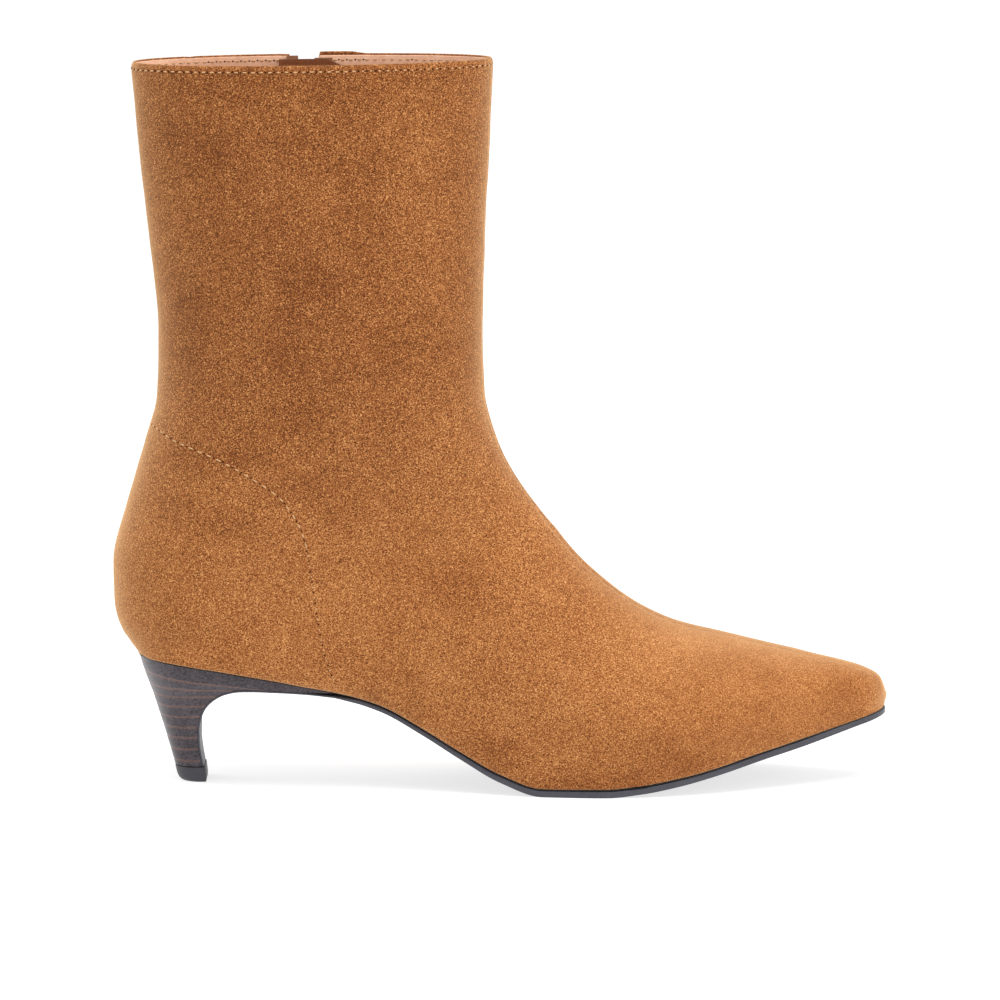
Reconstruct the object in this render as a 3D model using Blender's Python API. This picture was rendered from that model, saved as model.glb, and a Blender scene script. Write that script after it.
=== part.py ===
"""Zip ankle boot for the right foot: pointed toe, stacked heel, zip on the inner side of the leg.

The tables and sizes below are in millimetres, and every mesh is made in metres.
X runs from the heel to the toe, +Y is the inner (medial) side of the foot, +Z is up, and the floor is z = 0.
While the shapes are worked out, x = 0 is the back of the heel and y = 0 the middle of the heel; the origin is then
moved under the middle of the whole boot.
"""

import math
from collections import namedtuple

import bmesh
import bpy
import numpy as np
from mathutils import Vector

MM = 0.001

# Driving sizes
LENGTH = 271.2
BALL_WIDTH = 78.0
HEEL_SEAT_WIDTH = 50.2
SHAFT_HEIGHT = 253.5
COLLAR_WIDTH = 54.0
WALL = 1.8
FIT_GAP = 0.3
ORIGIN_X = LENGTH / 2.0 + 0.1
ORIGIN_Y = 0.1

# The line where the upper meets the sole: place along the boot and height of the line as sizes, and half widths
# to the outer and inner side as shares of the ball width.
Feather = namedtuple("Feather", "x z outer inner")
FEATHER = (
    Feather(8.7, 45.5, 0.322, 0.322),
    Feather(24.0, 44.0, 0.322, 0.322),
    Feather(45.0, 40.6, 0.327, 0.321),
    Feather(66.0, 36.9, 0.319, 0.282),
    Feather(80.0, 34.2, 0.317, 0.247),
    Feather(94.0, 29.9, 0.324, 0.227),
    Feather(108.0, 22.5, 0.349, 0.233),
    Feather(121.7, 14.4, 0.386, 0.282),
    Feather(135.5, 7.0, 0.432, 0.365),
    Feather(150.0, 2.6, 0.472, 0.446),
    Feather(172.0, 2.6, 0.498, 0.502),
    Feather(184.0, 3.7, 0.488, 0.504),
    Feather(198.0, 6.1, 0.453, 0.481),
    Feather(212.0, 9.4, 0.394, 0.439),
    Feather(226.0, 13.3, 0.322, 0.378),
    Feather(240.0, 16.8, 0.238, 0.306),
    Feather(254.0, 20.7, 0.150, 0.234),
    Feather(262.0, 23.0, 0.105, 0.200),
    Feather(LENGTH - 1.0, 25.2, 0.075, 0.180),
)
HEEL_ROUND = 23.0
TOE_ROUND = 8.5
TOE_MIDDLE = 4.2
TOE_TIP_SHARE = 0.12
OUTLINE_SLANT = 1.12

# Sections through the upper, from the collar to the toe. Each is a slice across the boot between a point on its
# front or top line and a point on its back or bottom line. widest is the share of the way up the slice at which
# it is widest, low and high are the roundness of the parts below and above, and crest is the top line's y.
Section = namedtuple("Section", "top_x top_z low_x low_z outer inner widest low high crest")
SECTIONS = (
    Section(133.0, SHAFT_HEIGHT, 7.5, SHAFT_HEIGHT - 1.5, COLLAR_WIDTH / 2.0, COLLAR_WIDTH / 2.0,
            0.47, 2.1, 2.1, 0.0),
    Section(131.6, 225.0, 9.9, 224.0, 27.2, 27.2, 0.47, 2.1, 2.1, 0.0),
    Section(130.0, 190.0, 13.7, 189.0, 27.8, 27.8, 0.46, 2.1, 2.1, 0.0),
    Section(129.2, 160.0, 16.5, 159.0, 28.7, 28.7, 0.45, 2.1, 2.1, 0.0),
    Section(129.9, 138.0, 15.9, 137.0, 29.6, 29.6, 0.43, 2.1, 2.1, 0.0),
    Section(134.0, 121.0, 11.5, 119.5, 30.0, 30.0, 0.38, 2.1, 2.1, 0.2),
    Section(139.4, 109.7, 4.9, 97.5, 29.8, 29.8, 0.31, 2.1, 2.1, 0.5),
    Section(143.8, 102.8, 0.2, 78.0, 29.4, 29.4, 0.26, 2.1, 2.15, 0.8),
    Section(146.4, 99.1, 0.5, 64.0, 29.0, 29.0, 0.25, 2.1, 2.2, 1.0),
    Section(148.4, 96.5, 3.1, 53.2, 28.8, 28.8, 0.25, 2.1, 2.2, 1.1),
    Section(149.8, 94.7, 8.7, None, 28.8, 28.8, 0.26, 2.1, 2.2, 1.2),
    Section(151.8, 92.1, 12.0, None, 28.8, 28.8, 0.26, 2.1, 2.2, 1.3),
    Section(154.8, 88.6, 22.0, None, 29.0, 29.0, 0.26, 2.2, 2.2, 1.5),
    Section(158.8, 83.5, 46.0, None, 29.6, 29.2, 0.27, 2.2, 2.2, 2.0),
    Section(164.2, 77.5, 78.0, None, 30.6, 29.2, 0.32, 2.2, 2.15, 2.5),
    Section(172.7, 69.8, 112.0, None, 33.6, 31.4, 0.32, 2.2, 2.1, 3.2),
    Section(183.8, 61.8, 142.0, None, 38.0, 37.0, 0.28, 2.2, 2.05, 3.8),
    Section(196.8, 55.6, 171.0, None, 40.6, 40.8, 0.26, 2.2, 2.0, 4.2),
    Section(212.0, 51.5, 198.0, None, 37.2, 39.4, 0.27, 2.2, 2.0, 4.4),
    Section(228.0, 47.7, 223.0, None, 28.4, 32.4, 0.30, 2.2, 2.05, 4.4),
    Section(243.0, 44.3, 243.0, None, 18.6, 23.8, 0.34, 2.2, 2.15, 4.3),
    Section(255.0, 41.4, 256.0, None, 11.9, 18.0, 0.37, 2.2, 2.3, 4.2),
    Section(263.0, 39.0, 263.5, None, 8.6, 15.8, 0.40, 2.2, 2.4, 4.2),
    Section(268.8, 35.5, 268.2, None, 6.8, 14.6, 0.42, 2.2, 2.4, 4.2),
    Section(LENGTH, 29.6, LENGTH - 1.0, None, 5.9, 14.0, 0.42, 2.2, 2.4, 4.2),
)
HEEL_POINT = 10
SHAFT_ROWS_UNTIL = 4
WAIST_ROWS = (13.75, 14.25, 14.75, 15.25)
SOLE_ROW = 14.25
LOWER_STEPS = 7
UPPER_STEPS = 10

# Zip: its place as a share of the way up each section, its slit, and its ends as rows of the sections
ZIP_PLACE = 0.457
ZIP_SLIT = 7.0
ZIP_END = 7.5
ZIP_TOP = 0.06
COIL_TOP_GAP = 0.12
COIL_END_GAP = 0.04
TAPE_PAST_END = 0.3
COIL_WIDTH = 6.2
COIL_DEPTHS = (0.4, 1.5)
TAPE_WIDTH = 24.0
TAPE_DEPTHS = (2.1, 2.8)
GUARD_REACH = (7.0, 19.0)
GUARD_DEPTHS = (3.2, 4.1)

# Sole: its thickness along the boot, the flap's thickness, and how far the edge stands out past the upper
Thickness = namedtuple("Thickness", "x thick")
SOLE_THICKNESS = (
    Thickness(85.0, 1.6),
    Thickness(145.0, 2.3),
    Thickness(240.0, 2.3),
    Thickness(270.0, 2.0),
)
SOLE_FLAP = 0.7
SOLE_LIP = 0.4
INSOLE_THICK = 2.2
INSOLE_EDGE_GAP = 0.6
INSOLE_END_GAP = 0.3
INSOLE_END_TURN = 1.3
INSOLE_HEEL_STEPS = 6
INSOLE_TOE_STEPS = 5

# Outer face of the sole's flap from the waist under the heel wedge and down the breast, with its half widths.
Flap = namedtuple("Flap", "x z outer inner")
FLAP = (
    Flap(78.0, 32.7, 24.9, 19.6),
    Flap(68.0, 33.8, 24.9, 21.6),
    Flap(58.0, 34.4, 24.9, 23.4),
    Flap(51.0, 34.6, 24.3, 23.4),
    Flap(45.0, 34.4, 23.2, 22.8),
    Flap(39.8, 33.2, 21.6, 21.4),
    Flap(35.6, 30.6, 19.0, 19.0),
    Flap(32.7, 27.2, 16.4, 16.4),
    Flap(31.1, 23.2, 13.8, 13.8),
    Flap(30.4, 19.0, 11.8, 11.8),
    Flap(30.4, 14.5, 10.0, 10.0),
    Flap(30.9, 10.0, 8.8, 8.8),
    Flap(31.7, 5.7, 7.9, 7.9),
)

# Layers of the heel block from the seat down: back edge, breast edge on the FLAP table by its row, widest half
# width, and the length over which the back is rounded.
Layer = namedtuple("Layer", "back_x back_z breast half round")
LAYERS = (
    Layer(9.0, 45.3, 0.05, HEEL_SEAT_WIDTH / 2.0, 22.0),
    Layer(10.2, 41.0, 2.0, 24.6, 21.0),
    Layer(11.4, 37.5, 3.2, 23.2, 19.5),
    Layer(12.6, 34.2, 4.6, 21.2, 17.5),
    Layer(13.8, 31.0, 5.8, 18.6, 15.0),
    Layer(15.0, 27.2, 6.9, 16.2, 12.0),
    Layer(16.3, 23.0, 8.0, 13.8, 10.0),
    Layer(17.6, 18.9, 9.0, 11.9, 8.6),
    Layer(18.9, 14.3, 10.0, 10.2, 7.6),
    Layer(20.2, 9.8, 11.0, 9.0, 7.0),
    Layer(21.3, 5.6, 12.0, 8.2, 6.6),
)
LAYER_STEPS = 11
LAYER_FRONT_STEPS = 4

# Top piece: its height, and its back, front and half width at the top and at the floor
LIFT_HEIGHT = 5.3
LIFT_BACK = (21.3, 22.5)
LIFT_FRONT = (32.0, 32.7)
LIFT_HALF = (8.4, 8.1)
LIFT_ROUND = 6.6
LIFT_TURN_STEPS = 14

# Slider and pull tab
SLIDER_AT = 0.42
SLIDER_LENGTH = 9.0
SLIDER_WIDTH = 8.4
SLIDER_PLATE = 1.3
SLIDER_TAPER = 0.9
SLIDER_CORNER = 1.6
CROWN_WIDTH = 2.4
CROWN_LENGTH = 5.2
CROWN_RISE = 3.4
CROWN_BAR = 1.0
TAB_LENGTH = 25.0
TAB_HEAD = 6.0
TAB_WIDTH = 6.6
TAB_NECK = 4.6
TAB_THICK = 1.2
TAB_EYE_LENGTH = 3.9
TAB_EYE_WIDTH = 3.4
TAB_NECK_FROM_EYE = 3.0
TAB_WIDEST_FROM_END = 5.0
TAB_CORNER = 1.2

# Colours as linear red, green, blue
SUEDE = (0.42, 0.17, 0.055)
SOLE_DARK = (0.055, 0.052, 0.060)
HEEL_DARK = (0.070, 0.058, 0.062)
RUBBER_DARK = (0.050, 0.048, 0.052)
LINING_TAN = (0.50, 0.30, 0.22)
TAPE_BROWN = (0.16, 0.085, 0.050)
GUARD_BROWN = (0.070, 0.040, 0.030)
METAL = (0.42, 0.40, 0.38)


def pchip(places, values, at):
    """Smooth curve through the values that never overshoots them."""
    places = np.asarray(places, float)
    values = np.asarray(values, float)
    steps = np.diff(places)
    slopes = np.diff(values) / steps
    bends = np.zeros(len(values))
    for k in range(1, len(values) - 1):
        if slopes[k - 1] * slopes[k] > 0.0:
            before = 2.0 * steps[k] + steps[k - 1]
            after = steps[k] + 2.0 * steps[k - 1]
            bends[k] = (before + after) / (before / slopes[k - 1] + after / slopes[k])
    bends[0] = slopes[0]
    bends[-1] = slopes[-1]
    at = min(max(float(at), places[0]), places[-1])
    k = min(int(np.searchsorted(places, at, side="right")) - 1, len(steps) - 1)
    s = (at - places[k]) / steps[k]
    rise = values[k] * (1.0 + 2.0 * s) * (1.0 - s) ** 2 + values[k + 1] * s * s * (3.0 - 2.0 * s)
    lean = bends[k] * s * (1.0 - s) ** 2 + bends[k + 1] * s * s * (s - 1.0)
    return float(rise + steps[k] * lean)


def read(table, column, at, by="x"):
    """One column of a table, as a smooth function of another."""
    return pchip([getattr(row, by) for row in table], [getattr(row, column) for row in table], at)


def feather_height(x):
    return read(FEATHER, "z", x)


def closing(x, inset=0.0):
    """How far the outline has closed at the round heel and the round toe, from 0 at their ends to 1."""
    heel_end = FEATHER[0].x + inset
    toe_end = FEATHER[-1].x - inset
    if x < heel_end + HEEL_ROUND:
        short = (heel_end + HEEL_ROUND - x) / HEEL_ROUND
    elif x > toe_end - TOE_ROUND:
        short = (x - toe_end + TOE_ROUND) / TOE_ROUND
    else:
        short = 0.0
    return math.sqrt(max(0.0, 1.0 - short * short))


def toe_middle(x):
    """The line that the toe closes on; it leaves the middle of the boot over the last part of the toe."""
    return TOE_MIDDLE if x > FEATHER[-1].x - 2.0 * TOE_ROUND else 0.0


def outline(x, inset=0.0):
    """The feather line's y on the outer and inner side at x, drawn in by inset all round."""
    share = closing(x, inset)
    if x > FEATHER[-1].x - inset - TOE_ROUND:
        share = max(share, TOE_TIP_SHARE)
    middle = toe_middle(x)
    outer = -(read(FEATHER, "outer", x) * BALL_WIDTH - inset * OUTLINE_SLANT)
    inner = read(FEATHER, "inner", x) * BALL_WIDTH - inset * OUTLINE_SLANT
    return middle + (outer - middle) * share, middle + (inner - middle) * share


def section(u):
    """The slice through the upper at row u of SECTIONS, with its corner points worked out."""
    at = {name: pchip(range(len(SECTIONS)), [getattr(row, name) for row in SECTIONS], u)
          for name in Section._fields if name != "low_z"}
    if u >= HEEL_POINT:
        at["low_z"] = feather_height(at["low_x"])
        at["foot_outer"], at["foot_inner"] = outline(at["low_x"])
    else:
        rows = SECTIONS[:HEEL_POINT]
        heights = [row.low_z for row in rows] + [feather_height(SECTIONS[HEEL_POINT].low_x)]
        at["low_z"] = pchip(range(HEEL_POINT + 1), heights, u)
        at["foot_outer"] = at["foot_inner"] = 0.0
    middle = toe_middle(at["low_x"])
    toe_end = FEATHER[-1].x
    share = 1.0
    if at["low_x"] > toe_end - TOE_ROUND:
        share = max(closing(at["low_x"]), TOE_TIP_SHARE)
    at["side_outer"] = middle + (-at["outer"] - middle) * share
    at["side_inner"] = middle + (at["inner"] - middle) * share
    at["span"] = math.hypot(at["top_x"] - at["low_x"], at["top_z"] - at["low_z"])
    return at


def along_side(at, side, w):
    """A point of a section on its outer or inner side; w runs from 0 at the bottom to 1 at the crest."""
    foot = at["foot_" + side]
    wide = at["side_" + side]
    if w <= 0.5:
        turn = w * math.pi
        t = at["widest"] * (1.0 - max(0.0, math.cos(turn)) ** (2.0 / at["low"]))
        y = foot + (wide - foot) * math.sin(turn) ** (2.0 / at["low"])
    else:
        turn = (w - 0.5) * math.pi
        t = at["widest"] + (1.0 - at["widest"]) * math.sin(turn) ** (2.0 / at["high"])
        y = at["crest"] + (wide - at["crest"]) * max(0.0, math.cos(turn)) ** (2.0 / at["high"])
    x = at["low_x"] + (at["top_x"] - at["low_x"]) * t
    z = at["low_z"] + (at["top_z"] - at["low_z"]) * t
    return np.array((x, y, z))


def way_up(at, t):
    """The w of along_side that lies the share t of the way up the section."""
    if t <= at["widest"]:
        return math.acos((1.0 - t / at["widest"]) ** (at["low"] / 2.0)) / math.pi
    above = (t - at["widest"]) / (1.0 - at["widest"])
    return 0.5 + math.asin(min(1.0, above) ** (at["high"] / 2.0)) / math.pi


def zip_edges(at):
    """The w of the slit's rear and front edge on the inner side of a section."""
    half = min(ZIP_SLIT / 2.0 / at["span"], 0.1)
    return way_up(at, ZIP_PLACE - half), way_up(at, ZIP_PLACE + half)


def steps(start, end, count):
    return [start + (end - start) * k / count for k in range(count + 1)]


def section_points(u):
    """All points of one section, from the outer foot over the crest to the inner foot."""
    at = section(u)
    outer = [w for w in steps(0.0, 0.5, LOWER_STEPS)] + steps(0.5, 1.0, UPPER_STEPS)[1:]
    rear, front = zip_edges(at)
    inner = steps(0.0, rear, LOWER_STEPS) + steps(front, 1.0, UPPER_STEPS - 1)
    points = [along_side(at, "outer", w) for w in outer]
    points += [along_side(at, "inner", w) for w in reversed(inner[:-1])]
    return points


def upper_rows():
    rows = [float(k) for k in range(SHAFT_ROWS_UNTIL)]
    rows += [k / 2.0 for k in range(2 * SHAFT_ROWS_UNTIL, 2 * len(SECTIONS) - 1)]
    return sorted(rows + list(WAIST_ROWS))


def new_material(name, colour, roughness, metallic=0.0):
    made = bpy.data.materials.new(name)
    made.use_nodes = True
    shader = made.node_tree.nodes["Principled BSDF"]
    shader.inputs["Base Color"].default_value = (*colour, 1.0)
    shader.inputs["Roughness"].default_value = roughness
    shader.inputs["Metallic"].default_value = metallic
    return made


def add_object(name, points, faces, material, smooth=True):
    """An object from points in millimetres, moved to the part's own origin and turned to metres."""
    mesh = bpy.data.meshes.new(name)
    placed = [((x - ORIGIN_X) * MM, (y - ORIGIN_Y) * MM, z * MM) for x, y, z in points]
    mesh.from_pydata(placed, [], faces)
    work = bmesh.new()
    work.from_mesh(mesh)
    bmesh.ops.recalc_face_normals(work, faces=work.faces)
    bmesh.ops.triangulate(work, faces=work.faces)
    work.to_mesh(mesh)
    work.free()
    mesh.materials.append(material)
    if smooth:
        mesh.shade_smooth()
        mesh.set_sharp_from_angle(angle=math.radians(40.0))
    made = bpy.data.objects.new(name, mesh)
    bpy.context.scene.collection.objects.link(made)
    return made


def vertex_normals(points, faces):
    """Outward normals of a surface, averaged at each point by the corner angles of its faces."""
    work = bmesh.new()
    for point in points:
        work.verts.new(point)
    work.verts.ensure_lookup_table()
    for face in faces:
        work.faces.new([work.verts[k] for k in face])
    work.normal_update()
    normals = [np.array(v.normal) for v in work.verts]
    work.free()
    return normals


def make_upper(material):
    rows = upper_rows()
    grid = [section_points(u) for u in rows]
    columns = len(grid[0])
    heel_row = rows.index(float(HEEL_POINT))
    zip_row = rows.index(ZIP_END)
    zip_column = LOWER_STEPS + UPPER_STEPS + UPPER_STEPS - 1
    last = len(rows) - 1

    number = {}
    points = []
    for i, row in enumerate(grid):
        for j in range(columns):
            if j == columns - 1 and i <= heel_row:
                number[i, j] = number[i, 0]
                continue
            number[i, j] = len(points)
            points.append(row[j])

    def cell(i, j):
        return (number[i, j], number[i, j + 1], number[i + 1, j + 1], number[i + 1, j])

    toe_cap = [number[last, j] for j in range(columns)]
    skin = [cell(i, j) for i in range(last) for j in range(columns - 1)]
    normals = vertex_normals(points, skin + [toe_cap])
    centre = np.mean(points, axis=0)
    facing = sum(float(np.dot(n, p - centre)) for n, p in zip(normals, points))
    outward = 1.0 if facing > 0.0 else -1.0

    inner = [p - outward * WALL * n for p, n in zip(points, normals)]
    for j in range(columns):
        inner[number[0, j]][2] = points[number[0, j]][2]
    for i in range(heel_row, last + 1):
        for j in (0, columns - 1):
            spot = inner[number[i, j]]
            spot[2] = feather_height(spot[0])

    count = len(points)
    kept = [cell(i, j) for i in range(last) for j in range(columns - 1)
            if not (j == zip_column and i < zip_row)]
    faces = list(kept)
    faces += [tuple(k + count for k in reversed(face)) for face in kept]
    faces.append(tuple(toe_cap))
    faces.append(tuple(k + count for k in reversed(toe_cap)))

    def wall(a, b):
        faces.append((a, b, b + count, a + count))

    for j in range(columns - 1):
        if j != zip_column:
            wall(number[0, j], number[0, j + 1])
    for i in range(zip_row):
        wall(number[i, zip_column], number[i + 1, zip_column])
        wall(number[i, zip_column + 1], number[i + 1, zip_column + 1])
    wall(number[zip_row, zip_column], number[zip_row, zip_column + 1])
    for i in range(heel_row, last):
        wall(number[i, 0], number[i + 1, 0])
        wall(number[i, columns - 1], number[i + 1, columns - 1])
    wall(number[last, 0], number[last, columns - 1])
    return add_object("upper", points + inner, faces, material)


def loft(name, loops, material, smooth=True):
    """A closed solid through loops of equal length, with both ends filled."""
    size = len(loops[0])
    points = [point for loop in loops for point in loop]
    faces = [tuple(range(size)), tuple(range(len(points) - size, len(points)))]
    for i in range(len(loops) - 1):
        for j in range(size):
            k = (j + 1) % size
            faces.append((i * size + j, i * size + k, (i + 1) * size + k, (i + 1) * size + j))
    return add_object(name, points, faces, material, smooth)


def flap_frame(k):
    """Point and inward normal of the flap's outer face at row k of its table."""
    rows = range(len(FLAP))
    here = np.array([pchip(rows, [row.x for row in FLAP], k), pchip(rows, [row.z for row in FLAP], k)])
    small = 0.02
    before, after = max(0.0, k - small), min(len(FLAP) - 1.0, k + small)
    way = np.array([pchip(rows, [row.x for row in FLAP], after) - pchip(rows, [row.x for row in FLAP], before),
                    pchip(rows, [row.z for row in FLAP], after) - pchip(rows, [row.z for row in FLAP], before)])
    way /= np.linalg.norm(way)
    return here, np.array([way[1], -way[0]])


def flap_reach(k):
    """The flap's half widths to the outer and inner side at row k of its table."""
    rows = range(len(FLAP))
    return pchip(rows, [row.outer for row in FLAP], k), pchip(rows, [row.inner for row in FLAP], k)


def layer_places():
    """The heel's layers, with one more loop between each two of them."""
    return steps(0.0, len(LAYERS) - 1.0, 2 * len(LAYERS) - 2)


def layer_value(name, k):
    return pchip(range(len(LAYERS)), [getattr(row, name) for row in LAYERS], k)


def make_outsole(material):
    loops = []
    places = [section(u)["low_x"] for u in upper_rows() if u >= SOLE_ROW]
    for x in [places[-1] + SOLE_LIP] + places[::-1]:
        outer, inner = outline(x, -SOLE_LIP)
        top = feather_height(x) - FIT_GAP
        low = top - read(SOLE_THICKNESS, "thick", x)
        loops.append([(x, outer, top), (x, inner, top), (x, inner, low), (x, outer, low)])
    for k in [0.0] + [layer_value("breast", k) for k in layer_places()]:
        here, inward = flap_frame(k)
        top = here + inward * SOLE_FLAP
        outer, inner = flap_reach(k)
        loops.append([(top[0], -outer, top[1]), (top[0], inner, top[1]),
                      (here[0], inner, here[1]), (here[0], -outer, here[1])])
    return loft("outsole", loops, material)


def make_insole(material):
    """The insole lies on the sole and the heel seat, inside the upper, with its stations at the upper's sections."""
    inset = WALL + INSOLE_EDGE_GAP
    start = FEATHER[0].x + inset + INSOLE_END_GAP
    end = FEATHER[-1].x - inset - INSOLE_END_GAP
    heel_turns = steps(0.0, INSOLE_END_TURN, INSOLE_HEEL_STEPS)
    toe_turns = steps(INSOLE_END_TURN, 0.0, INSOLE_TOE_STEPS)
    heel_part = [start + HEEL_ROUND * (1.0 - math.cos(a)) for a in heel_turns]
    toe_part = [end - TOE_ROUND * (1.0 - math.cos(a)) for a in toe_turns]
    middle_part = [section(u)["low_x"] for u in upper_rows() if u > HEEL_POINT]
    places = heel_part + [x for x in middle_part if heel_part[-1] + 1.0 < x < toe_part[0] - 1.0] + toe_part
    loops = []
    for x in places:
        outer, inner = outline(x, inset)
        low = feather_height(x)
        top = low + INSOLE_THICK
        loops.append([(x, outer, top), (x, inner, top), (x, inner, low), (x, outer, low)])
    return loft("insole", loops, material)


def heel_layer(k):
    """One level loop of the heel block: up the outer side from the breast, round the back, and to the breast."""
    row = Layer(*[layer_value(name, k) for name in Layer._fields])
    here, inward = flap_frame(row.breast)
    front = here + inward * (SOLE_FLAP + FIT_GAP)
    reach = dict(zip(("outer", "inner"), flap_reach(row.breast)))
    round_share = row.round / (front[0] - row.back_x)
    sides = {"outer": [], "inner": []}
    for side, sign in (("outer", -1.0), ("inner", 1.0)):
        for m in range(LAYER_STEPS):
            if m < LAYER_FRONT_STEPS:
                r = (1.0 - round_share) * m / LAYER_FRONT_STEPS
                half = reach[side] + (row.half - reach[side]) * math.sin(m / LAYER_FRONT_STEPS * math.pi / 2.0)
            else:
                turn = (m - LAYER_FRONT_STEPS) / (LAYER_STEPS - LAYER_FRONT_STEPS) * math.pi / 2.0
                r = 1.0 - round_share * (1.0 - math.sin(turn))
                half = row.half * math.cos(turn)
            x = front[0] + (row.back_x - front[0]) * r
            z = front[1] + (row.back_z - front[1]) * r
            if k == 0:
                z = feather_height(x) - FIT_GAP
            sides[side].append((x, sign * half, z))
    back_z = feather_height(row.back_x) - FIT_GAP if k == 0 else row.back_z
    return sides["outer"] + [(row.back_x, 0.0, back_z)] + sides["inner"][::-1]


def make_heel(material):
    return loft("heel", [heel_layer(k) for k in layer_places()], material)


def make_top_piece(material):
    loops = []
    for z, back, front, half in zip((LIFT_HEIGHT, 0.0), LIFT_BACK, LIFT_FRONT, LIFT_HALF):
        loop = [(front, -half, z)]
        turns = steps(0.0, math.pi, LIFT_TURN_STEPS)
        loop += [(back + LIFT_ROUND * (1.0 - math.sin(a)), -half * math.cos(a), z) for a in turns]
        loop.append((front, half, z))
        loops.append(loop)
    return loft("top_piece", loops, material)


def inner_side(u, t, depth):
    """A point on the inner side of the shaft, the given depth under the upper's outer face."""
    def at(row, share):
        there = section(row)
        return along_side(there, "inner", way_up(there, share))

    small = 0.01
    down = at(u + small, t) - at(max(0.0, u - small), t)
    forward = at(u, t + small) - at(u, t - small)
    normal = np.cross(forward, down)
    normal /= np.linalg.norm(normal)
    if normal[1] < 0.0:
        normal = -normal
    return at(u, t) - normal * depth, normal, down / np.linalg.norm(down)


def make_strip(name, material, rows, reach, depths, columns):
    """A strip that follows the zip down the shaft, reach millimetres to its rear and front."""
    loops = []
    for u in rows:
        span = section(u)["span"]
        shares = steps(ZIP_PLACE - reach[0] / span, ZIP_PLACE + reach[1] / span, columns)
        outer = [inner_side(u, t, depths[0])[0] for t in shares]
        inner = [inner_side(u, t, depths[1])[0] for t in shares]
        loops.append(outer + inner[::-1])
    return loft(name, loops, material)


def slider_frame():
    """Origin on the shaft's outer face under the slider, with the ways along, across and out of the zip."""
    origin, out, down = inner_side(SLIDER_AT, ZIP_PLACE, 0.0)
    across = np.cross(down, out)
    across /= np.linalg.norm(across)
    if across[0] < 0.0:
        across = -across
    return origin, across, down, out


def in_frame(frame, across, down, out):
    origin, way_across, way_down, way_out = frame
    return origin + way_across * across + way_down * down + way_out * out


def make_slider(material):
    """The slider: a tapered plate over the coil, and a crown bent over it like a staple, joined to the plate."""
    frame = slider_frame()
    top = FIT_GAP + SLIDER_PLATE
    half = SLIDER_LENGTH / 2.0
    wide, narrow = SLIDER_WIDTH / 2.0, SLIDER_WIDTH / 2.0 - SLIDER_TAPER
    corner = SLIDER_CORNER
    shape = ((-wide + corner, -half), (wide - corner, -half), (wide, -half + corner), (wide, -corner),
             (narrow, half - corner), (narrow - corner, half), (-narrow + corner, half), (-narrow, half - corner),
             (-wide, -corner), (-wide, -half + corner))
    plate = [[in_frame(frame, across, down, out) for across, down in shape] for out in (FIT_GAP, top)]
    slider = loft("zip_slider", plate, material, smooth=False)

    post = CROWN_LENGTH / 2.0
    foot, roof = FIT_GAP + SLIDER_PLATE / 2.0, top + CROWN_RISE
    staple = ((-post, foot), (-post, roof - CROWN_BAR / 2.0), (-post + CROWN_BAR / 2.0, roof),
              (post - CROWN_BAR / 2.0, roof), (post, roof - CROWN_BAR / 2.0), (post, foot),
              (post - CROWN_BAR, foot), (post - CROWN_BAR, roof - CROWN_BAR),
              (-post + CROWN_BAR, roof - CROWN_BAR), (-post + CROWN_BAR, foot))
    sides = (-CROWN_WIDTH / 2.0, CROWN_WIDTH / 2.0)
    crown = loft("slider_crown_cutter", [[in_frame(frame, side, down, out) for down, out in staple]
                                         for side in sides], material, smooth=False)
    crown.hide_render = True
    crown.display_type = "WIRE"
    union = slider.modifiers.new("crown", "BOOLEAN")
    union.operation = "UNION"
    union.object = crown
    return slider


def tab_axis_out():
    """How far out of the shaft the pull tab's bar lies: in the middle of the crown's tunnel."""
    return FIT_GAP + SLIDER_PLATE + (CROWN_RISE - CROWN_BAR) / 2.0


def make_puller(material):
    """The pull tab: a plate that hangs from the crown by a bar, with an eye through which the crown passes."""
    frame = slider_frame()
    hinge = tab_axis_out()
    thin = TAB_THICK / 2.0
    eye = TAB_EYE_WIDTH / 2.0
    levels = ((-thin, TAB_HEAD), (thin, TAB_WIDTH), (TAB_EYE_LENGTH, TAB_WIDTH),
              (TAB_EYE_LENGTH + TAB_NECK_FROM_EYE, TAB_NECK), (TAB_LENGTH - TAB_WIDEST_FROM_END, TAB_WIDTH),
              (TAB_LENGTH - TAB_CORNER, TAB_WIDTH), (TAB_LENGTH, TAB_WIDTH - 2.0 * TAB_CORNER))
    points = []
    for out in (hinge - thin, hinge + thin):
        for down, width in levels:
            for across in (-width / 2.0, -eye, eye, width / 2.0):
                points.append(in_frame(frame, across, down, out))
    size = 4 * len(levels)
    rows = len(levels) - 1
    eye_cell = (1, 1)
    filled = {(i, j) for i in range(rows) for j in range(3)} - {eye_cell}
    faces = []
    for i, j in sorted(filled):
        k = 4 * i + j
        faces.append((k, k + 1, k + 5, k + 4))
        faces.append((k + size, k + 4 + size, k + 5 + size, k + 1 + size))
        around = (((i - 1, j), (k, k + 1)), ((i + 1, j), (k + 5, k + 4)),
                  ((i, j - 1), (k + 4, k)), ((i, j + 1), (k + 1, k + 5)))
        for neighbour, (a, b) in around:
            if neighbour not in filled:
                faces.append((b, a, a + size, b + size))
    puller = add_object("zip_puller", points, faces, material, smooth=False)
    pivot = Vector([c * MM for c in in_frame(frame, 0.0, 0.0, hinge) - np.array((ORIGIN_X, ORIGIN_Y, 0.0))])
    for vertex in puller.data.vertices:
        vertex.co -= pivot
    puller.location = pivot
    return puller


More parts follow.
